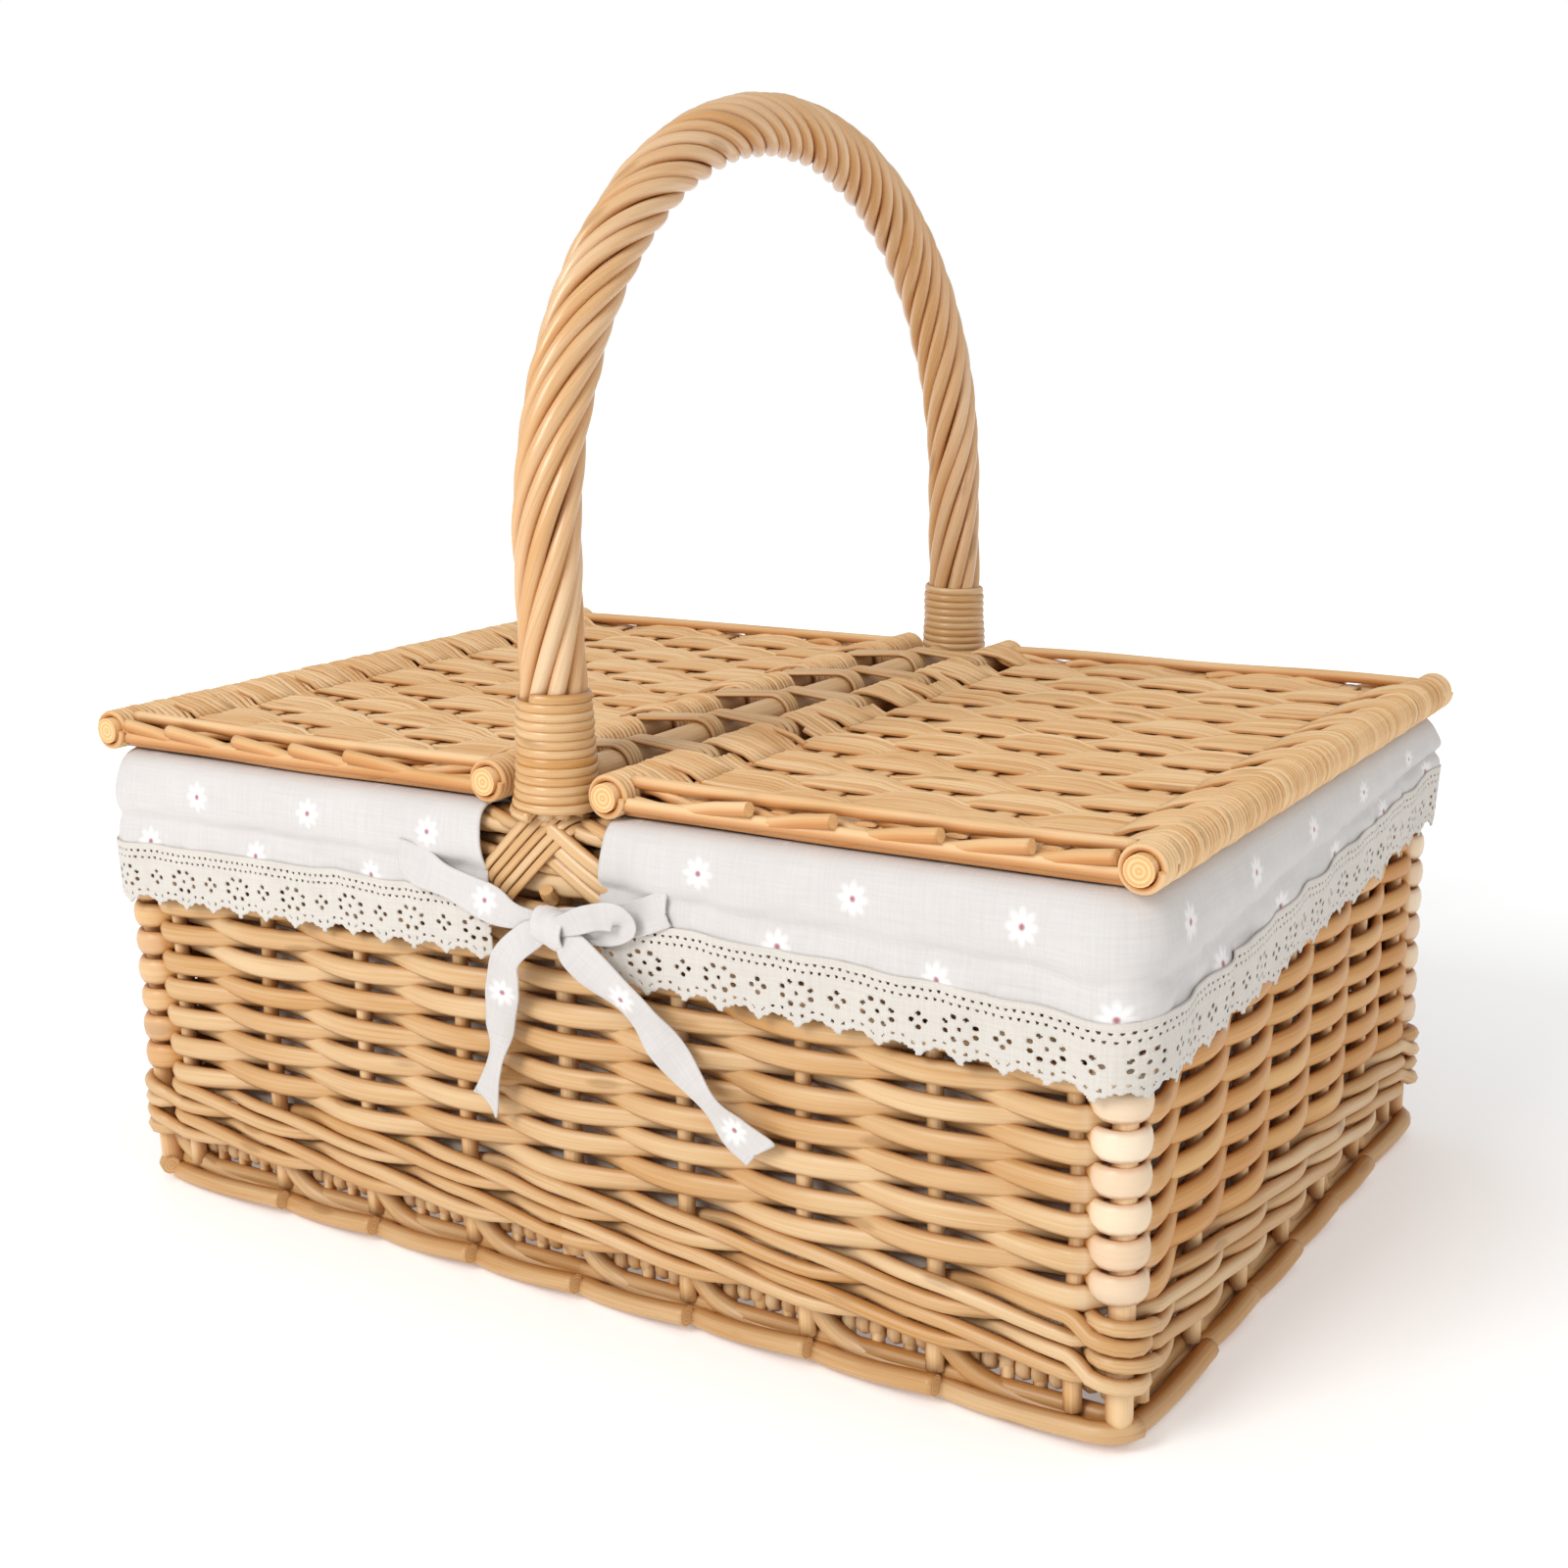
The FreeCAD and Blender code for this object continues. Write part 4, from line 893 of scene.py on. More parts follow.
# ---------------------------------------------------------------- woven panels: lids and base
def woven_rods(bundle, across, sign, span, sticks, lift, wrap, radius, squeeze, place, random, first=True,
               tail=18 * MM):
    """Fine rods woven over and under the sticks of a panel, and wrapped round its two end rods.

    Along a rod the height is sign * lift * cos(pi * along / bay), which grows to the wrap radius at both
    end rods; half circles of that radius turn round them, and a tail comes back on the other face. Where
    the rods pass over or under a stick their group fans out by the squeeze share, so that the panel is
    closed from both sides.
    """
    bay = span / (sticks + 1)
    turn = np.linspace(-math.pi / 2, math.pi / 2, 9)
    start = 0.0 if first else wrap + 2.4 * MM
    along = np.linspace(start, span, 6 * (sticks + 1) + 1)
    edge = smooth(1 - np.minimum(along, span - along) / (0.9 * bay))
    wave = np.cos(math.pi * along / bay)
    wave = np.sign(wave) * np.abs(wave) ** (0.55 + 0.45 * edge)
    height = (lift + (wrap - lift) * edge) * wave
    back = np.linspace(tail, 3 * MM, 4)
    under = -wrap * (1 - 0.75 * (back / tail) ** 2)
    if first:
        along = np.concatenate([back, -wrap * np.cos(turn), along[1:]])
        height = np.concatenate([under, wrap * np.sin(turn), height[1:]])
    along = np.concatenate([along[:-1], span + wrap * np.cos(turn), span - back[::-1]])
    height = np.concatenate([height[:-1], -wrap * np.sin(turn), under[::-1]])
    fan = np.where((along >= 0) & (along <= span), np.cos(math.pi * along / bay), 0.0)
    fan = np.abs(fan) ** 0.75 * smooth(np.minimum(along, span - along) / (0.5 * bay))
    local, middle = across
    spread = 1 + squeeze * fan
    drift = ripple(random, along, 0.08, len(sign)) * 0.16 * radius
    sideways = middle[:, None] + local[:, None] * spread + drift
    bob = ripple(random, along, 0.05, len(sign)) * 0.16 * radius
    bob = bob + random.normal(0, 0.12, (len(sign), 1)) * radius
    points, axis = place(along[None] + 0 * sideways, sideways, sign[:, None] * height[None] + bob)
    up = np.cross(np.gradient(points, axis=1), axis)
    swell = 1 + 1.08 * squeeze * fan
    carry(bundle, points, radius * swell, radius * 0.9, up, 8, random.uniform(0, 1, len(sign)), both=True)


def grouped(count, groups, width):
    """Rods across a panel in equal groups: each rod's place in its group, its group's middle and its side."""
    total = groups * count
    number = np.arange(total) // count
    pitch = width / total
    middle = (number + 0.5) * count * pitch - width / 2
    local = (np.arange(total) % count - (count - 1) / 2) * pitch
    return local, middle, np.where(number % 2 == 0, 1.0, -1.0), pitch


LID_STICKS = 5


def lid_sag(along, sideways):
    """The slight unevenness of a lid's face."""
    broad = 0.5 * MM * np.sin(along * 31.0 + 1.0) * np.cos(sideways * 17.0)
    return broad + 0.35 * MM * np.sin(sideways * 43.0 + 2.0)


def build_lid(side, name):
    """One lid: fine rods woven over its sticks and round two end rods, with plaited front and back edges."""
    size = settings("willow")
    random = np.random.default_rng(21 if side > 0 else 22)
    span = LID_END_X - HINGE_X
    sticks = LID_STICKS
    bay = span / (sticks + 1)

    def place(along, sideways, height):
        inside = (along > 0) & (along < span)
        sag = lid_sag(along, sideways) * np.sin(math.pi * np.clip(along / span, 0, 1))
        lifted = height + np.where(inside, sag, 0)
        points = points_of(side * (HINGE_X + along), sideways, HINGE_Z + lifted)
        return points, np.array([0.0, 1.0, 0.0])

    local, middle, sign, pitch = grouped(size.lid_group_rods, size.lid_groups, 2 * LID_BORDER_Y - 0.6 * MM)
    radius = pitch / 2 * 0.97
    wrap = LID_ROLL_RADIUS - radius
    loops = loop_places(side)
    near_loop = np.abs((local + middle)[:, None] - loops[None]).min(1) < 8.0 * MM
    weave = Bundle()
    for chosen, first in ((~near_loop, True), (near_loop, False)):
        woven_rods(weave, (local[chosen], middle[chosen]), sign[chosen], span, sticks, 1.4 * MM, wrap, radius,
                   0.52, place, random, first)
    piece(f"{name}_fine_weave", weave, "lid", name, (f"{name}_weave",))

    rods = Bundle()
    reach = np.linspace(-1, 1, 40)
    for stick in range(1, sticks + 1):
        y = reach * (LID_BORDER_Y + 4 * MM)
        path = points_of(side * (HINGE_X + stick * bay) + 0 * y, y, HINGE_Z + lid_sag(stick * bay, y))
        carry(rods, path[None], 3.6 * MM, 0.7 * MM, UP, 10, random.uniform(0.3, 1))
    piece(f"{name}_stick_rods", rods, "lid", name, (f"{name}_sticks",))

    for label, along in (("inner", 0.0), ("outer", span)):
        rod = Bundle()
        y = np.linspace(-1, 1, 30) * (LID_EDGE_Y + 0.4 * MM)
        path = points_of(side * (HINGE_X + along) + 0 * y, y, HINGE_Z + 0 * y)
        carry(rod, path[None], LID_ROD_RADIUS * 0.97, LID_ROD_RADIUS * 0.97, UP, 20, random.uniform(0.2, 0.8))
        rounds = 5
        for end in (-1, 1):
            turns = np.linspace(0, rounds, rounds * 28 + 1)
            ys = end * (LID_BORDER_Y + 0.8 * MM + (LID_EDGE_Y - LID_BORDER_Y - 2.0 * MM) * turns / rounds)
            radial = points_of(np.cos(TURN * turns), 0 * turns, np.sin(TURN * turns))
            centre = points_of(path[0, 0] + 0 * ys, ys, HINGE_Z + 0 * ys)
            helix = radial * (LID_ROD_RADIUS + 1.25 * MM) + centre
            carry(rod, helix[None], 1.15 * MM, 1.1 * MM, radial[None], 8, random.uniform(0, 1))
        piece(f"{name}_{label}_end_rod", rod, "lid", name, (f"{name}_{label}_rod",))

    for label, end in (("front", -1), ("back", 1)):
        border = Bundle()
        lid_border(border, side, end, span, bay, random)
        piece(f"{name}_{label}_plait", border, "lid", name, (f"{name}_{label}_border",))


def lid_border(bundle, side, end, span, bay, random):
    """A lid's edge: rods that leave the weave at each stick, run along the edge and end cut outside it."""
    radius = 2.15 * MM
    step = np.linspace(0, 1, 46)
    for number in range(-2, LID_STICKS + 1):
        first = number * bay + random.uniform(-2, 2) * MM
        last = first + bay * random.uniform(2.75, 3.05)
        along = np.clip(first + (last - first) * step, 5 * MM, span - 5.5 * MM)
        if along[-1] - along[0] < bay:
            continue
        along = np.linspace(along[0], along[-1], len(step))
        share = (along - first) / (last - first)
        y = np.interp(share, [0, 0.1, 0.3, 0.55, 0.8, 1],
                      np.array([124, 127.6, 130.6, 132.6, 134.8, 136.2]) * MM)
        z = np.interp(share, [0, 0.12, 0.32, 0.6, 0.82, 1], np.array([0.5, 1.8, -1.2, -3.0, 0.8, 2.7]) * MM)
        bow = 1.6 * MM * np.sin(math.pi * along / span)
        path = points_of(side * (HINGE_X + along), end * (y + bow), HINGE_Z + z - 0.4 * bow)
        path = (np.roll(path, 1, 0) + 2 * path + np.roll(path, -1, 0)) / 4
        taper = np.interp(share, [0, 1], [0.85, 1.06])
        carry(bundle, path[1:-1][None], radius * taper[1:-1], radius * taper[1:-1], UP, 10,
              random.uniform(0, 1))
    for y, z, wide in ((129.3, 3.6, 2.1), (132.2, -4.1, 2.3), (134.6, -2.2, 2.2)):
        along = np.linspace(4.5 * MM, span - 4.5 * MM, 60)
        drift = ripple(random, along, 0.12, 2) * 0.4 * MM
        bow = 1.4 * MM * np.sin(math.pi * along / span)
        out = end * (y * MM + bow + drift[0])
        path = points_of(side * (HINGE_X + along), out, HINGE_Z + z * MM + drift[1] * 0.6)
        carry(bundle, path[None], wide * MM, wide * MM, UP, 10, random.uniform(0, 1))


def build_lids():
    """Both lids."""
    build_lid(-1, "left_lid")
    build_lid(1, "right_lid")


LOOPS_PER_LID = 5


def loop_places(side):
    """Where a lid's cane loops stand along the hinge bar."""
    wide = high("right_hinge_loops")[1] - low("right_hinge_loops")[1]
    pitch = 2 * BAR_END / LOOPS_PER_LID
    loop_width = wide - pitch * (LOOPS_PER_LID - 1)
    shift = (loop_width + 1 * MM) / 2
    return (np.arange(LOOPS_PER_LID) - (LOOPS_PER_LID - 1) / 2) * pitch + side * shift


def build_hinge():
    """The hinge bar and the cane loops, each a belt round two circles: the bar and a lid's inner rod."""
    random = np.random.default_rng(23)
    bar = Bundle()
    y = np.linspace(-BAR_END, BAR_END, 50)
    drift = ripple(random, y, 0.15, 2) * 0.2 * MM
    path = points_of(drift[0], y, HINGE_Z + drift[1])
    carry(bar, path[None], BAR_RADIUS * 0.97, BAR_RADIUS * 0.97, UP, 24, 0.35)
    piece("hinge_bar_rod", bar, "stake", "basket", ("hinge_bar",))
    thick = 0.75 * MM
    big, small = BAR_RADIUS + thick, LID_ROD_RADIUS + thick
    leave = math.acos((big - small) / HINGE_X)
    round_bar = np.linspace(leave, TURN - leave, 22)
    round_rod = np.linspace(-leave, leave, 18)
    between = np.linspace(0, 1, 6)[1:-1]
    belt = np.concatenate([np.stack([big * np.cos(round_bar), big * np.sin(round_bar)], 1),
                           np.stack([HINGE_X + small * np.cos(round_rod), small * np.sin(round_rod)], 1)])
    corner = len(round_bar)
    low_run = belt[corner - 1] + (belt[corner] - belt[corner - 1]) * between[:, None]
    high_run = belt[-1] + (belt[0] - belt[-1]) * between[:, None]
    belt = np.concatenate([belt[:corner], low_run, belt[corner:], high_run])
    for name, side in (("left_hinge_loops", -1), ("right_hinge_loops", 1)):
        bundle = Bundle()
        strands = 4
        wide = 9 * MM / strands
        fan = 1 + 0.42 * np.clip(belt[:, 0] / HINGE_X, 0, 1)
        for loop in loop_places(side):
            for strand in range(strands):
                y = loop + (strand - (strands - 1) / 2) * wide * fan
                lean = 0.25 * wide * np.sin(np.linspace(0, TURN, len(belt), endpoint=False) + strand)
                path = points_of(side * belt[:, 0], y + lean, HINGE_Z + belt[:, 1])
                out = np.cross(np.roll(path, -1, 0) - np.roll(path, 1, 0), [0.0, -side, 0.0])
                carry(bundle, path[None], wide / 2 * 0.98 * fan, thick, out[None], 8, random.uniform(0.2, 1),
                      closed=True)
        piece(f"{name}_cane", bundle, "cane", "basket", (name,))


def build_base():
    """The base: rods woven across lengthwise sticks, wrapped round a rod at each long edge."""
    random = np.random.default_rng(24)
    base_low, base_high = low("base_weave"), high("base_weave")
    middle_z = (base_low[2] + base_high[2]) / 2
    sticks = 7
    radius = 2.5 * MM
    wrap = (base_high[2] - base_low[2]) / 2 - radius
    edge = base_high[1] - wrap - radius
    span = 2 * edge
    total = 2 * int(base_high[0] / (2 * radius + 0.2 * MM))
    across = (np.arange(total) - (total - 1) / 2) * 2 * base_high[0] / total
    sign = np.where(np.arange(total) % 2 == 0, 1.0, -1.0)

    def place(along, sideways, height):
        points = points_of(sideways, along - edge, middle_z + height)
        return points, np.array([1.0, 0.0, 0.0])

    weave = Bundle()
    woven_rods(weave, (0 * across, across), sign, span, sticks, wrap, wrap, radius, 0.0, place, random,
               tail=12 * MM)
    piece("base_rods", weave, "stake", "basket", ("base_weave",))
    tips = Bundle()
    turned = np.array([(x, end * (edge + wrap - 0.4 * MM)) for x in across[1:-1:2] for end in (-1, 1)])
    upright_rods(tips, turned, 2.3 * MM, 2.5 * MM, middle_z, random, lean=0.3 * MM)
    piece("base_rod_tips", tips, "tip", "basket")
    rods = Bundle()
    x = np.linspace(-1, 1, 60) * base_high[0]
    for number in range(sticks + 2):
        y = -edge + span * number / (sticks + 1)
        path = points_of(x, y + 0 * x, middle_z + 0 * x)
        thick = 1.9 * MM if number in (0, sticks + 1) else 2.3 * MM
        carry(rods, path[None], thick, thick * 0.8, UP, 10, random.uniform(0, 1))
    piece("base_stick_rods", rods, "stake", "basket", ("base_sticks",))


def through(points, steps):
    """A smooth line through given points: cubic pieces whose slope at a point follows its two neighbours."""
    points = np.asarray(points, float)
    ends = np.concatenate([[2 * points[0] - points[1]], points, [2 * points[-1] - points[-2]]])
    place = np.linspace(0, len(points) - 1, steps)
    whole = np.minimum(place.astype(int), len(points) - 2)
    t = (place - whole).reshape(-1, *([1] * (points.ndim - 1)))
    a, b, c, d = (ends[whole + shift] for shift in range(4))
    return 0.5 * (2 * b + (c - a) * t + (2 * a - 5 * b + 4 * c - d) * t ** 2
                  + (3 * b - a - 3 * c + d) * t ** 3)


def build_lashings():
    """Cane lashed from the collar's foot over the rim: a wide band to one side, three rods to the other."""
    random = np.random.default_rng(25)
    strands = 5
    wide = 3.1 * MM
    for end, sign in (("front", -1), ("back", 1)):
        bundle = Bundle()
        for strand in range(strands):
            shift = (strand - (strands - 1) / 2) * wide
            line = through(np.array([(7.5, -2.0, 163.0), (5.5, 5.5, 162.2), (1.5, 8.7, 158.0),
                                     (-5, 9.4, 151.5),
                                     (-12, 9.3, 144.5), (-18.5, 8.6, 138.0), (-21.5, 5.0, 134.0)]) * MM, 40)
            slant = shift * 0.71
            path = points_of(line[:, 0] + slant, sign * (WALL_Y + line[:, 1]), line[:, 2] - slant)
            up = np.broadcast_to(np.array([0.0, sign, 0.35]), path.shape)
            carry(bundle, path[None], wide / 2 * 1.02, 0.75 * MM, up[None], 10, random.uniform(0.4, 1))
        for strand in range(3):
            drop = strand * 5.6
            line = through(np.array([(-8.0, 3.5, 163.0), (-2, 6.9, 160.5), (6, 7.8, 156), (14, 7.9, 151.0),
                                     (22, 7.4, 146.5), (27, 5.0, 143.5)]) * MM, 30)
            out = sign * (WALL_Y + line[:, 1] - strand * 0.25 * MM)
            path = points_of(line[:, 0] + strand * 0.8 * MM, out, line[:, 2] - drop * MM)
            up = np.broadcast_to(np.array([0.0, sign, 0.2]), path.shape)
            carry(bundle, path[None], 2.5 * MM, 1.7 * MM, up[None], 10, random.uniform(0.3, 1))
        stub = np.array([(1.0, 5.5, 134.5), (1.2, 8.4, 136.4), (1.4, 9.6, 138.6)]) * MM
        line = through(stub, 8)
        path = points_of(line[:, 0], sign * (WALL_Y + line[:, 1]), line[:, 2])
        carry(bundle, path[None], 2.2 * MM, 2.2 * MM, np.array([1.0, 0.0, 0.0]), 10, 0.9)
        piece(f"{end}_lashing_cane", bundle, "cane", "basket", (f"{end}_lashing",))


# ---------------------------------------------------------------- liner, lace and bows
def cloth_material(name, colour, deep, daisies, thread=0.55 * MM, weight=1.0):
    """Cotton: crossing threads, slubs of thicker yarn, a soft sheen, and rows of small printed daisies."""
    sizes = settings("cloth")
    n = Nodes(name)
    u, v = n.uv()
    place = n.vector(u, v, 0.0)
    warp = n.maths("SINE", n.times(u, TURN / thread))
    weft = n.maths("SINE", n.times(v, TURN / thread))
    threads = n.times(warp, weft)
    along = n.noise(n.vector(n.times(u, 60.0), n.times(v, 1400.0), 0.0), 1.0, 2.0)
    across = n.noise(n.vector(n.times(u, 1400.0), n.times(v, 60.0), 5.0), 1.0, 2.0)
    slubs = n.times(n.plus(along, across), 0.5)
    wide = n.noise(place, 30.0, 3.0)
    tone = n.plus(n.times(slubs, 1.2), n.times(wide, 0.5))
    base = n.mix(n.spread(tone, 0.55, 1.15), opaque(deep), opaque(colour))
    base = n.mix(n.spread(threads, -1.0, 1.0, 0.10, 0.0), base, opaque(deep, 0.8))
    height = n.plus(n.times(threads, 0.35), slubs)
    if daisies:
        row_gap, first, top = 18 * MM, 7 * MM, 9.5 * MM
        down = n.less(v, top)
        row = n.maths("FLOOR", n.plus(n.maths("DIVIDE", down, row_gap), 0.5))
        turn = n.plus(n.maths("DIVIDE", n.less(u, first), sizes.daisy_spacing),
                      n.plus(n.times(row, 0.5), 100.5))
        column = n.times(n.less(n.maths("FRACT", turn), 0.5), sizes.daisy_spacing)
        drop = n.less(down, n.times(row, row_gap))
        reach = n.maths("SQRT", n.plus(n.times(column, column), n.times(drop, drop)))
        angle = n.maths("ARCTAN2", drop, column)
        petal = n.maths("ABSOLUTE", n.maths("COSINE", n.times(angle, 4.0)))
        edge = n.times(n.plus(n.times(petal, 0.36), 0.64), sizes.daisy_size / 2)
        flower = n.spread(n.less(reach, edge), -1.5 * MM, 0.8 * MM, 0.60, 0.0)
        eye = n.spread(reach, 0.45 * MM, 1.25 * MM, 0.85, 0.0)
        base = n.mix(flower, base, PETAL_WHITE)
        base = n.mix(eye, base, DAISY_EYE)
    normal = n.bump(height, 0.5 * weight, 0.12 * MM)
    return n.finish(base_color=base, roughness=n.spread(slubs, 0.2, 0.8, 0.95, 0.78), normal=normal,
                    sheen_weight=0.25, sheen_roughness=0.5, specular_ior_level=0.2)


def flap_lift(walk):
    """How far the lower part of the liner hangs above its usual height: it sinks at the front corners."""
    corner, half = WALL_X + 5 * MM, CLOTH_ROUND / 2
    places = [0, 0.5 * corner, corner, corner + 0.3 * WALL_Y, half - corner - 15 * MM,
              half - corner + 30 * MM, half,
              half + corner, 1.5 * half, 2 * half - corner, 2 * half - 0.5 * corner, 2 * half]
    lifts = np.array([1.5, -0.5, -4.5, -2.5, 11.0, 7.0, 0.0, 2.0, 0.5, -2.0, 0.5, 1.5]) * MM
    return np.interp(np.mod(walk, CLOTH_ROUND), places, lifts)


def near_posts(walk, reach):
    """A bell of height one at each corner post, and its reach along the wall."""
    corner = WALL_X + CLOTH_OUT - CLOTH_BEND * (1 - math.pi / 4)
    away = np.abs(np.abs(np.mod(walk, CLOTH_ROUND / 2) - CLOTH_ROUND / 4) - (CLOTH_ROUND / 4 - corner))
    return np.exp(-(away / reach) ** 2)


def soft_folds(random, walk, down, size):
    """Soft folds of a hanging strip: waves along the wall that lean with the height, stronger lower down."""
    leaning = walk[None, :] + 0.55 * down[:, None]
    folds = ripple(random, leaning.ravel(), 0.060)[0].reshape(leaning.shape)
    fine = ripple(random, (walk[None, :] - 0.9 * down[:, None]).ravel(), 0.021)[0].reshape(leaning.shape)
    level = (down[:, None] + 0.05 * np.sin(walk[None, :] * 9)).ravel()
    level = ripple(random, level, 0.018)[0].reshape(leaning.shape)
    return size * (0.62 * folds + 0.30 * fine + 0.25 * level)


FLAP_GAP = 24 * MM
POST_BELL = 13 * MM


def strip_walks(side):
    """The stretch of wall that a flap covers, round one end of the basket."""
    first = FLAP_GAP if side > 0 else CLOTH_ROUND / 2 + FLAP_GAP
    return first, first + CLOTH_ROUND / 2 - 2 * FLAP_GAP


def build_flaps():
    """Two flaps of the liner, each folded over the rim round one end of the basket, and their lace."""
    inner = (BAG_X - WALL_X) / MM - 2.4
    corners = [(inner, 140), (inner + 0.3, 153), (-5.8, 160.3), (0, 161.9), (5.2, 161.5), (8.5, 158.2),
               (9.7, 151.5), (9.3, 145.5), (8.2, 141.0), (8.5, 136.0), (8.9, 131.3)]
    profile = through(np.array(corners) * MM, 56)
    legs = run_of(profile)
    top = int(np.argmax(profile[:, 1]))
    down = legs - legs[top] - 5 * MM
    hanging = smooth((profile[:, 1].max() - profile[:, 1]) / (31 * MM)) * (np.arange(len(profile)) > top)
    for side, label in ((-1, "left"), (1, "right")):
        random = np.random.default_rng(31 + side)
        first, last = strip_walks(side)
        walk = np.linspace(first, last, 560)
        slack = hanging[:, None] * soft_folds(random, walk, down, 1.5 * MM)
        bulge = 1.2 * MM * np.sin(math.pi * hanging)[:, None] * (1 + 0.5 * ripple(random, walk, 0.16)[0])
        level = 141 * MM + 1.6 * MM * ripple(random, walk, 0.2)[0]
        dip = np.exp(-((profile[:, 1:] - level) / (2.2 * MM)) ** 2)
        crease = -1.7 * MM * dip * (0.7 + 0.3 * ripple(random, walk, 0.1)[0])
        bulge = np.abs(slack) + bulge * 0.5 + crease * hanging[:, None]
        offset = profile[:, :1] + np.where(hanging[:, None] > 0, bulge, 0)
        offset = offset + 3.4 * MM * near_posts(walk, POST_BELL) * hanging[:, None] ** 0.5
        lift = flap_lift(walk)
        pucker = 0.5 * MM * ripple(random, walk, 0.03)[0]
        height = profile[:, 1:] + (lift + pucker) * hanging[:, None]
        ends = np.exp(-np.minimum(walk - first, last - walk) / (14 * MM))
        inwards = ends * hanging[:, None] * 3 * MM * np.sign(walk - (first + last) / 2)
        points = wall_line(np.broadcast_to(walk, offset.shape) + inwards, offset, height, CLOTH)[0]
        name = f"{label}_cloth_flap"
        cloth = Bundle()
        u = walk if side > 0 else walk - CLOTH_ROUND
        lay(cloth, points, u[None], down[:, None] + 0 * u[None])
        item = piece(name, cloth, "cloth", "basket", (f"{label}_flap",))
        thicken(item, settings("cloth").thickness)
        build_lace(label, walk, inwards[-1], offset[-1], height[-1], random)


def lace_solid(u, v):
    """Signed distance to the lace's threads, in metres: above nought is thread, below is a hole or outside.

    Rings of eight eyelets, small crosses between them, two rows of little eyelets above and an edge of
    arches.
    """
    u, v = u / MM, v / MM
    tooth = np.abs(2 * np.mod(u / 13 + 0.5, 1) - 1)
    edge = 19.3 + 3.2 * (1 - tooth) ** 2.0 + 0.32 * np.cos(TURN * u / 3.25)
    solid = edge - v

    def holes(x, y, half_x, half_y):
        return (np.sqrt((x / half_x) ** 2 + (y / half_y) ** 2) - 1) * min(half_x, half_y)

    def row(period, shift, level, half_x, half_y):
        return holes(np.mod(u + shift, period) - period / 2, v - level, half_x, half_y)

    x = np.mod(u, 26) - 13
    y = v - 11.9
    for number in range(8):
        angle = TURN * (number + 0.5) / 8
        solid = np.minimum(solid, holes(x - 5.0 * math.cos(angle), y - 3.5 * math.sin(angle), 1.0, 0.78))
    solid = np.minimum(solid, holes(x, y, 0.8, 0.7))
    x = np.mod(u + 13, 26) - 13
    for shift_x, shift_y in ((2.1, 0), (-2.1, 0), (0, 2.0), (0, -2.0)):
        solid = np.minimum(solid, holes(x - shift_x, y - shift_y, 0.95, 0.8))
    solid = np.minimum(solid, row(2.6, 0, 2.6, 0.62, 0.58))
    solid = np.minimum(solid, row(2.6, 1.3, 5.0, 0.62, 0.58))
    solid = np.minimum(solid, holes(np.mod(u, 3.25) - 1.625, v - (edge - 2.2), 0.7, 0.55))
    return solid * MM


def build_lace(label, walk, inwards, offset, height, random):
    """The lace under a flap: a fine grid, cut away where the distance to the threads is below nought."""
    cell = 0.6 * MM
    deep = 23.6 * MM
    across = np.arange(walk[0], walk[-1], cell)
    down = np.arange(0, deep, cell)
    u, v = np.meshgrid(across, down)
    solid = lace_solid(u, v)
    slope_v, slope_u = np.gradient(solid, cell)
    near = np.abs(solid) < 0.55 * cell
    steep = np.maximum(slope_u ** 2 + slope_v ** 2, 0.3)
    u = u - np.where(near, solid * slope_u / steep, 0)
    v = v - np.where(near, solid * slope_v / steep, 0)
    middle = (solid[:-1, :-1] + solid[1:, :-1] + solid[1:, 1:] + solid[:-1, 1:]) / 4
    keep = middle > 0
    along = np.clip(u, walk[0], walk[-1])
    top_offset = np.interp(along, walk, offset) + 0.75 * MM
    top_height = np.interp(along, walk, height) + 1.6 * MM
    share = v / deep
    sway = ripple(random, across, 0.045)[0] * share * 0.8 * MM
    sway = sway + ripple(random, across, 0.019)[0] * share * 0.35 * MM
    settle = top_offset * (1 - share) + (8.6 * MM + 3.2 * MM * near_posts(along, POST_BELL)) * share
    along = along + np.interp(along, walk, inwards)
    points = wall_line(along, settle + np.abs(sway), top_height - v, CLOTH)[0]
    bundle = Bundle()
    lay(bundle, points, u, v, keep=keep)
    name = f"{label}_lace_edge"
    item = piece(name, bundle, "lace", "basket", (f"{label}_lace",))
    thicken(item, 0.5 * MM)


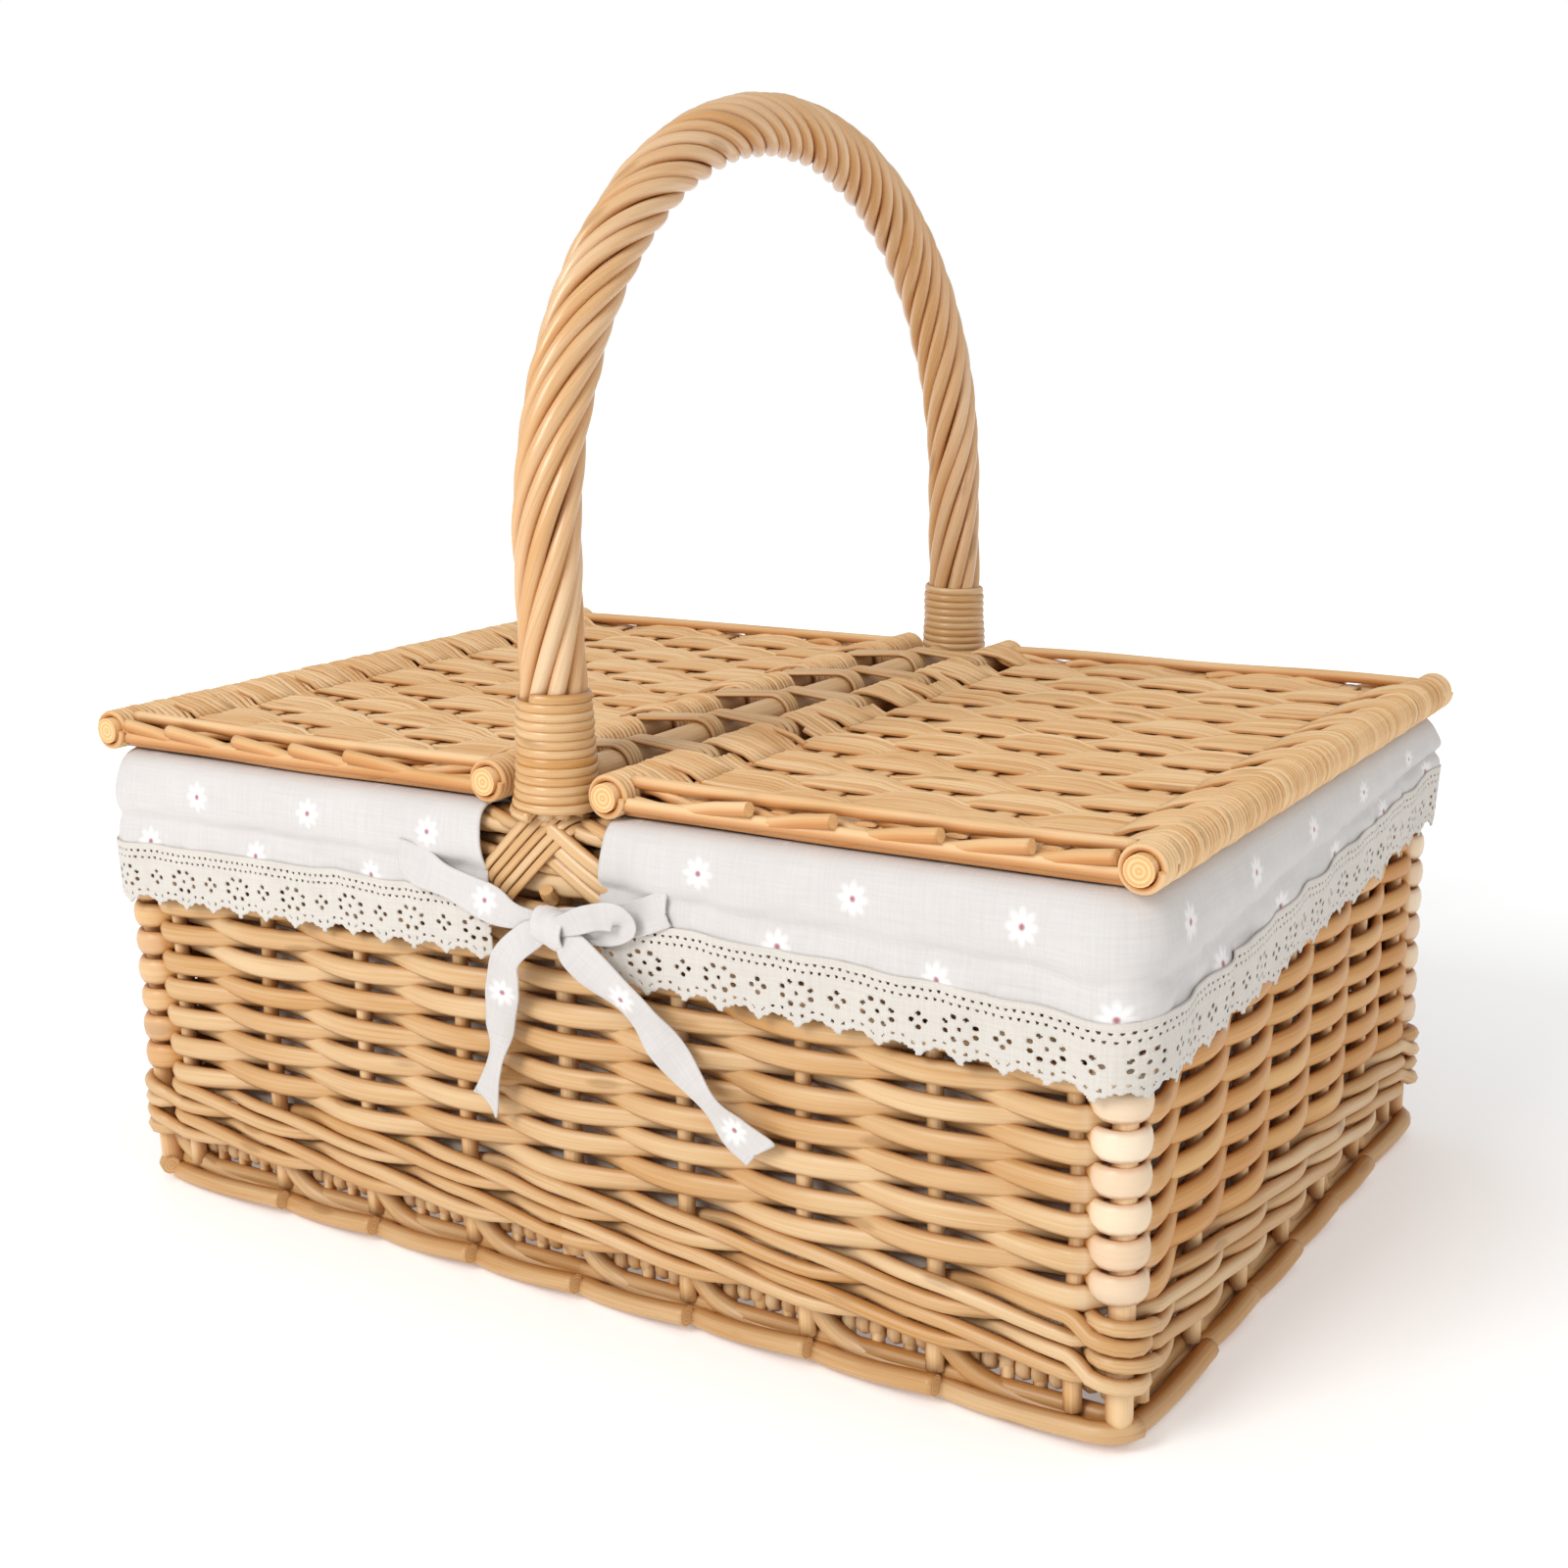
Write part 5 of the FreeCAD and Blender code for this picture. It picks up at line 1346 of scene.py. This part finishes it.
def build_bag():
    """The liner: a bag with soft corners, hung inside the walls, with wrinkles towards its floor."""
    random = np.random.default_rng(34)
    steps = 90
    round_floor = 16 * MM
    angle = np.linspace(0, math.pi / 2, 10)
    wall_z = np.linspace(BAG_TOP - 1.5 * MM, BAG_LOW + round_floor, 30)
    floor_share = np.linspace(0, 1, 26)[1:] ** 0.9
    inset = np.concatenate([np.zeros(len(wall_z)), round_floor * (1 - np.cos(angle[1:])),
                            round_floor + floor_share * (BAG_Y - round_floor - 4 * MM)])
    floor_z = np.full(25, BAG_LOW + 0.6 * MM)
    z = np.concatenate([wall_z, BAG_LOW + 0.6 * MM + round_floor * (1 - np.sin(angle[1:])), floor_z])
    rings = []
    for shift, level in zip(inset, z):
        bend = 4 * MM + 22 * MM * smooth((BAG_TOP - level) / (70 * MM))
        half_x, half_y = BAG_X - 1.0 * MM - shift, BAG_Y - 1.0 * MM - shift
        points = outline(half_x, half_y, max(bend - 0.55 * shift, 2 * MM), steps)[1]
        rings.append(np.concatenate([points[:-1], np.full((len(points) - 1, 1), level)], 1))
    grid = np.stack(rings)
    share = np.linspace(0, 1, len(z))[:, None]
    walk = np.linspace(0, ROUND, grid.shape[1], endpoint=False)
    ahead = (walk + 0.35 * (BAG_TOP - z[:, None])).ravel()
    folds = ripple(random, ahead, 0.085)[0].reshape(share.shape[0], -1)
    fine = ripple(random, (walk - 0.6 * (BAG_TOP - z[:, None])).ravel(), 0.033)[0].reshape(folds.shape)
    column = np.arange(grid.shape[1])
    from_seam = np.minimum(column, grid.shape[1] - column).clip(0, 12)
    blend = 0.5 - 0.5 * np.cos(TURN * from_seam / 24)
    wave = np.abs(0.7 * folds + 0.4 * fine) * blend * np.sin(math.pi * np.clip(share * 1.1, 0, 1))
    inward = unit(np.concatenate([-grid[..., :2], np.zeros(grid.shape[:2] + (1,))], -1))
    flatness = np.clip((BAG_TOP - z) / 60 / MM, 0, 1)[:, None, None]
    grid = grid + inward * (wave * 2.6 * MM)[..., None] * flatness
    grid[..., 2] += np.where(share > 0.55, wave * 1.8 * MM, 0)
    closed = np.concatenate([grid, grid[:, :1]], 1)
    length = run_of(grid[:, 0])
    around = np.linspace(0, ROUND, closed.shape[1])
    bundle = Bundle()
    index = np.arange(grid.shape[0] * grid.shape[1]).reshape(grid.shape[:2])
    there = np.roll(index, -1, 1)
    quads = np.stack([index[:-1], there[:-1], there[1:], index[1:]], -1).reshape(-1, 4)
    u, v = np.meshgrid(around, length)
    sides = points_of(u, v)
    sides = np.stack([sides[:-1, :-1], sides[:-1, 1:], sides[1:, 1:], sides[1:, :-1]], -2)
    flat = closed[..., :2]
    flat = np.stack([flat[:-1, :-1], flat[:-1, 1:], flat[1:, 1:], flat[1:, :-1]], -2)
    on_floor = (np.arange(len(sides)) >= len(wall_z) + len(angle) - 2)[:, None, None, None]
    uvs = np.where(on_floor, flat, sides)
    last = index[-1][None]
    bundle.add(grid.reshape(-1, 3), np.full(index.size, 0.5),
               [(quads, uvs.reshape(-1, 4, 2), 0), (last, grid[-1, :, :2][None], 0)])
    item = piece("liner_cloth_bag", bundle, "cloth", "basket", ("liner_bag",))
    # The bag's back face takes the lighter, warmer colour, which is painted light in the wall's gaps.
    item.data.materials.append(MATERIALS["plain"])
    thicken(item, settings("cloth").thickness).modifiers["Thickness"].material_offset = 1


def ribbon(name, nodes, sign, points, widths, twists, start=0.0):
    """A flat ribbon along a smooth line of (x, outwards, z) points, with a width and a twist at each."""
    random = np.random.default_rng(len(name) * 7 + int(abs(points[0][0])))
    steps = 14 * (len(points) - 1) + 1
    line = through(np.array(points, float) * MM, steps)
    wide = through(np.array(widths, float)[:, None] * MM, steps)[:, 0]
    twist = through(np.radians(np.array(twists, float))[:, None], steps)[:, 0]
    path = points_of(line[:, 0], -(WALL_Y + line[:, 1]), line[:, 2])
    tangent = unit(np.gradient(path, axis=0))
    across = unit(np.cross(np.array([0.0, -1.0, 0.0]), tangent))
    normal = np.cross(tangent, across)
    turned = np.cos(twist)[:, None] * across + np.sin(twist)[:, None] * normal
    normal = np.cross(tangent, turned)
    place = np.linspace(-1, 1, 11)
    along = run_of(path)
    curl = 0.10 * wide[:, None] * (place ** 2 - 0.4) * ripple(random, along, 0.05)[0][:, None]
    wave = ripple(random, along, 0.018)[0][:, None] * place * 0.35 * MM
    sideways = turned[:, None] * (place * wide[:, None] / 2)[..., None]
    grid = path[:, None] + sideways + normal[:, None] * (curl + wave)[..., None]
    grid[-1] += tangent[-1] * (place * 3.0 * MM)[:, None]
    u = start + along[:, None] + 0 * place
    v = place * wide[:, None] / 2 + 9.5 * MM
    grid[..., 1] *= -sign
    bundle = Bundle()
    if sign > 0:
        lay(bundle, grid[:, ::-1], u[:, ::-1], v[:, ::-1])
    else:
        lay(bundle, grid, u, v)
    item = piece(name, bundle, "ribbon", "basket", nodes)
    thicken(item, 0.55 * MM, 1)
    return item


def build_bows():
    """The cotton ties at the front and back: two ties, a small loop, a knot and two tails, one sheet each."""
    for end, sign in (("front", -1), ("back", 1)):
        ribbon(f"{end}_left_tie", (f"{end}_ties",), sign,
               [(-57, 10.4, 143.0), (-46, 12.0, 140.0), (-33, 13.2, 136.5), (-19, 13.6, 133.2),
                (-7, 14.4, 130.6), (6, 15.6, 129.0)],
               [11.5, 12.5, 11.5, 12.0, 9.5, 6.5], [4, -8, 6, -10, 8, 0], start=20 * MM)
        ribbon(f"{end}_right_tie", (), sign,
               [(8, 12.6, 131.5), (18, 13.2, 131.6), (28, 12.4, 133.0), (38, 11.2, 135.6), (47, 10.8, 139.5)],
               [6.5, 9.5, 11.0, 11.0, 11.0], [10, -12, 6, -6, 0], start=36 * MM)
        ribbon(f"{end}_bow_loop", (), sign,
               [(9, 16.2, 129.5), (16, 18.2, 132.0), (25, 19.0, 135.5), (32.5, 17.8, 136.4),
                (34, 14.8, 133.2), (27, 13.6, 129.6), (16, 14.0, 128.0)],
               [6.0, 7.5, 9.0, 9.5, 9.0, 8.0, 6.0], [0, 12, 20, 8, -6, 0, 0],
               start=12 * MM)
        ribbon(f"{end}_left_tail", (f"{end}_tails",), sign,
               [(5, 15.6, 128.5), (-2, 17.4, 124.0), (-9, 16.6, 116.5), (-14.5, 13.4, 105.0),
                (-18.5, 11.4, 92.0), (-22.5, 10.4, 78.0), (-26.5, 9.6, 64.0)],
               [6.5, 11.5, 12.5, 11.5, 10.5, 9.0, 11.5], [0, 28, 12, -14, -4, 26, 4],
               start=25.6 * MM)
        ribbon(f"{end}_right_tail", (), sign,
               [(11, 15.6, 128.0), (18, 17.8, 123.6), (28, 16.0, 115.0), (39, 13.4, 104.5), (49, 11.8, 93.5),
                (59, 11.2, 82.5), (69, 10.4, 74.0), (77, 9.8, 68.5)],
               [6.5, 11.0, 12.5, 12.5, 10.5, 9.0, 12.0, 13.5], [0, -20, 10, 14, -24, 18, 10, 0],
               start=30 * MM)
        turn = np.linspace(0, TURN, 40)
        knot = Bundle()
        rows = np.linspace(-1, 1, 13)
        pinch = 1 - 0.16 * np.abs(rows) ** 2
        folds = 1 + 0.05 * np.sin(turn[:, None] * 3 + rows * 4.0) + 0.03 * np.sin(rows * 19 + turn[:, None])
        reach = pinch * folds
        reach[-1] = reach[0]
        x = 9.0 * MM + rows * 5.6 * MM + 1.6 * MM * np.cos(turn[:, None])
        outwards = 15.2 * MM - 3.9 * MM * np.cos(turn[:, None]) * reach
        z = 128.8 * MM + 6.2 * MM * np.sin(turn[:, None]) * reach - 0.18 * rows * 5.6 * MM
        grid = points_of(x, sign * (WALL_Y + outwards), z)
        length = 2 * math.pi * 5.2 * MM
        u = 30 * MM + turn[:, None] / TURN * length + 0 * rows
        if sign > 0:
            grid = grid[:, ::-1]
        lay(knot, grid[:, ::-1], u, rows * 5.6 * MM + 0 * turn[:, None])
        item = piece(f"{end}_bow_knot", knot, "ribbon", "basket", (f"{end}_knot",))
        thicken(item, 0.6 * MM, 1)


# ---------------------------------------------------------------- operators and panel
class BuildStep:
    """Shared by the operators: each runs its own builder."""

    bl_options = {"REGISTER", "UNDO"}
    builders = ()

    def execute(self, context):
        if not MATERIALS:
            make_materials()
        for builder in self.builders:
            builder()
        return {"FINISHED"}


class BASKET_OT_walls(BuildStep, Operator):
    """Weave the four walls between the corner posts and stand their stakes"""
    bl_idname, bl_label = "basket.walls", "Walls and Stakes"
    builders = (build_walls, build_stakes)


class BASKET_OT_borders(BuildStep, Operator):
    """Work the foot border, the two wales and the plaited rim"""
    bl_idname, bl_label = "basket.borders", "Borders and Wales"
    builders = (build_wales, build_rim, build_foot)


class BASKET_OT_base(BuildStep, Operator):
    """Weave the base across its sticks"""
    bl_idname, bl_label = "basket.base", "Base"
    builders = (build_base,)


class BASKET_OT_handle(BuildStep, Operator):
    """Twist the handle, wind its collars and lash them to the rim"""
    bl_idname, bl_label = "basket.handle", "Handle"
    builders = (build_handle, build_collars, build_lashings)


class BASKET_OT_lids(BuildStep, Operator):
    """Weave both lids and plait their front and back borders"""
    bl_idname, bl_label = "basket.lids", "Lids"
    builders = (build_lids,)


class BASKET_OT_hinge(BuildStep, Operator):
    """Make the hinge bar and bind each lid to it with cane loops"""
    bl_idname, bl_label = "basket.hinge", "Hinge"
    builders = (build_hinge,)


class BASKET_OT_liner(BuildStep, Operator):
    """Hang the liner's bag, fold its flaps over the rim and sew on the lace"""
    bl_idname, bl_label = "basket.liner", "Liner and Lace"
    builders = (build_bag, build_flaps)


class BASKET_OT_bows(BuildStep, Operator):
    """Tie the cotton bows at the front and the back"""
    bl_idname, bl_label = "basket.bows", "Bows"
    builders = (build_bows,)


class BASKET_OT_stage(BuildStep, Operator):
    """Set the floor, the lights and the camera"""
    bl_idname, bl_label = "basket.stage", "Stage"
    builders = (build_stage,)


OPERATORS = (BASKET_OT_walls, BASKET_OT_borders, BASKET_OT_base, BASKET_OT_handle, BASKET_OT_lids,
             BASKET_OT_hinge, BASKET_OT_liner, BASKET_OT_bows, BASKET_OT_stage)
GROUPS = {"willow": WillowSettings, "cloth": ClothSettings, "stage": StageSettings}


class BASKET_PT_build(Panel):
    """Settings of the basket and a button for each group of pieces"""
    bl_idname, bl_label = "BASKET_PT_build", "Willow Sewing Basket"
    bl_space_type, bl_region_type, bl_category = "VIEW_3D", "UI", "Basket"

    def draw(self, context):
        for operator in OPERATORS:
            self.layout.operator(operator.bl_idname)
        for name, group in GROUPS.items():
            box = self.layout.box()
            box.label(text=name.title())
            for setting in group.__annotations__:
                box.prop(settings(name), setting)


def register():
    """Add the settings, operators and panel to Blender."""
    for cls in (*GROUPS.values(), *OPERATORS, BASKET_PT_build):
        bpy.utils.register_class(cls)
    for name, cls in GROUPS.items():
        setattr(bpy.types.Scene, f"sewing_basket_{name}", PointerProperty(type=cls))


def unregister():
    """Take the settings, operators and panel out of Blender."""
    for name in GROUPS:
        delattr(bpy.types.Scene, f"sewing_basket_{name}")
    for cls in reversed((*GROUPS.values(), *OPERATORS, BASKET_PT_build)):
        bpy.utils.unregister_class(cls)


def main():
    """Build every piece and the stage."""
    register()
    for operator in OPERATORS:
        group, name = operator.bl_idname.split(".")
        if getattr(getattr(bpy.ops, group), name)() != {"FINISHED"}:
            raise RuntimeError(f"{operator.bl_label} wasn't finished")


if __name__ == "__main__":
    main()
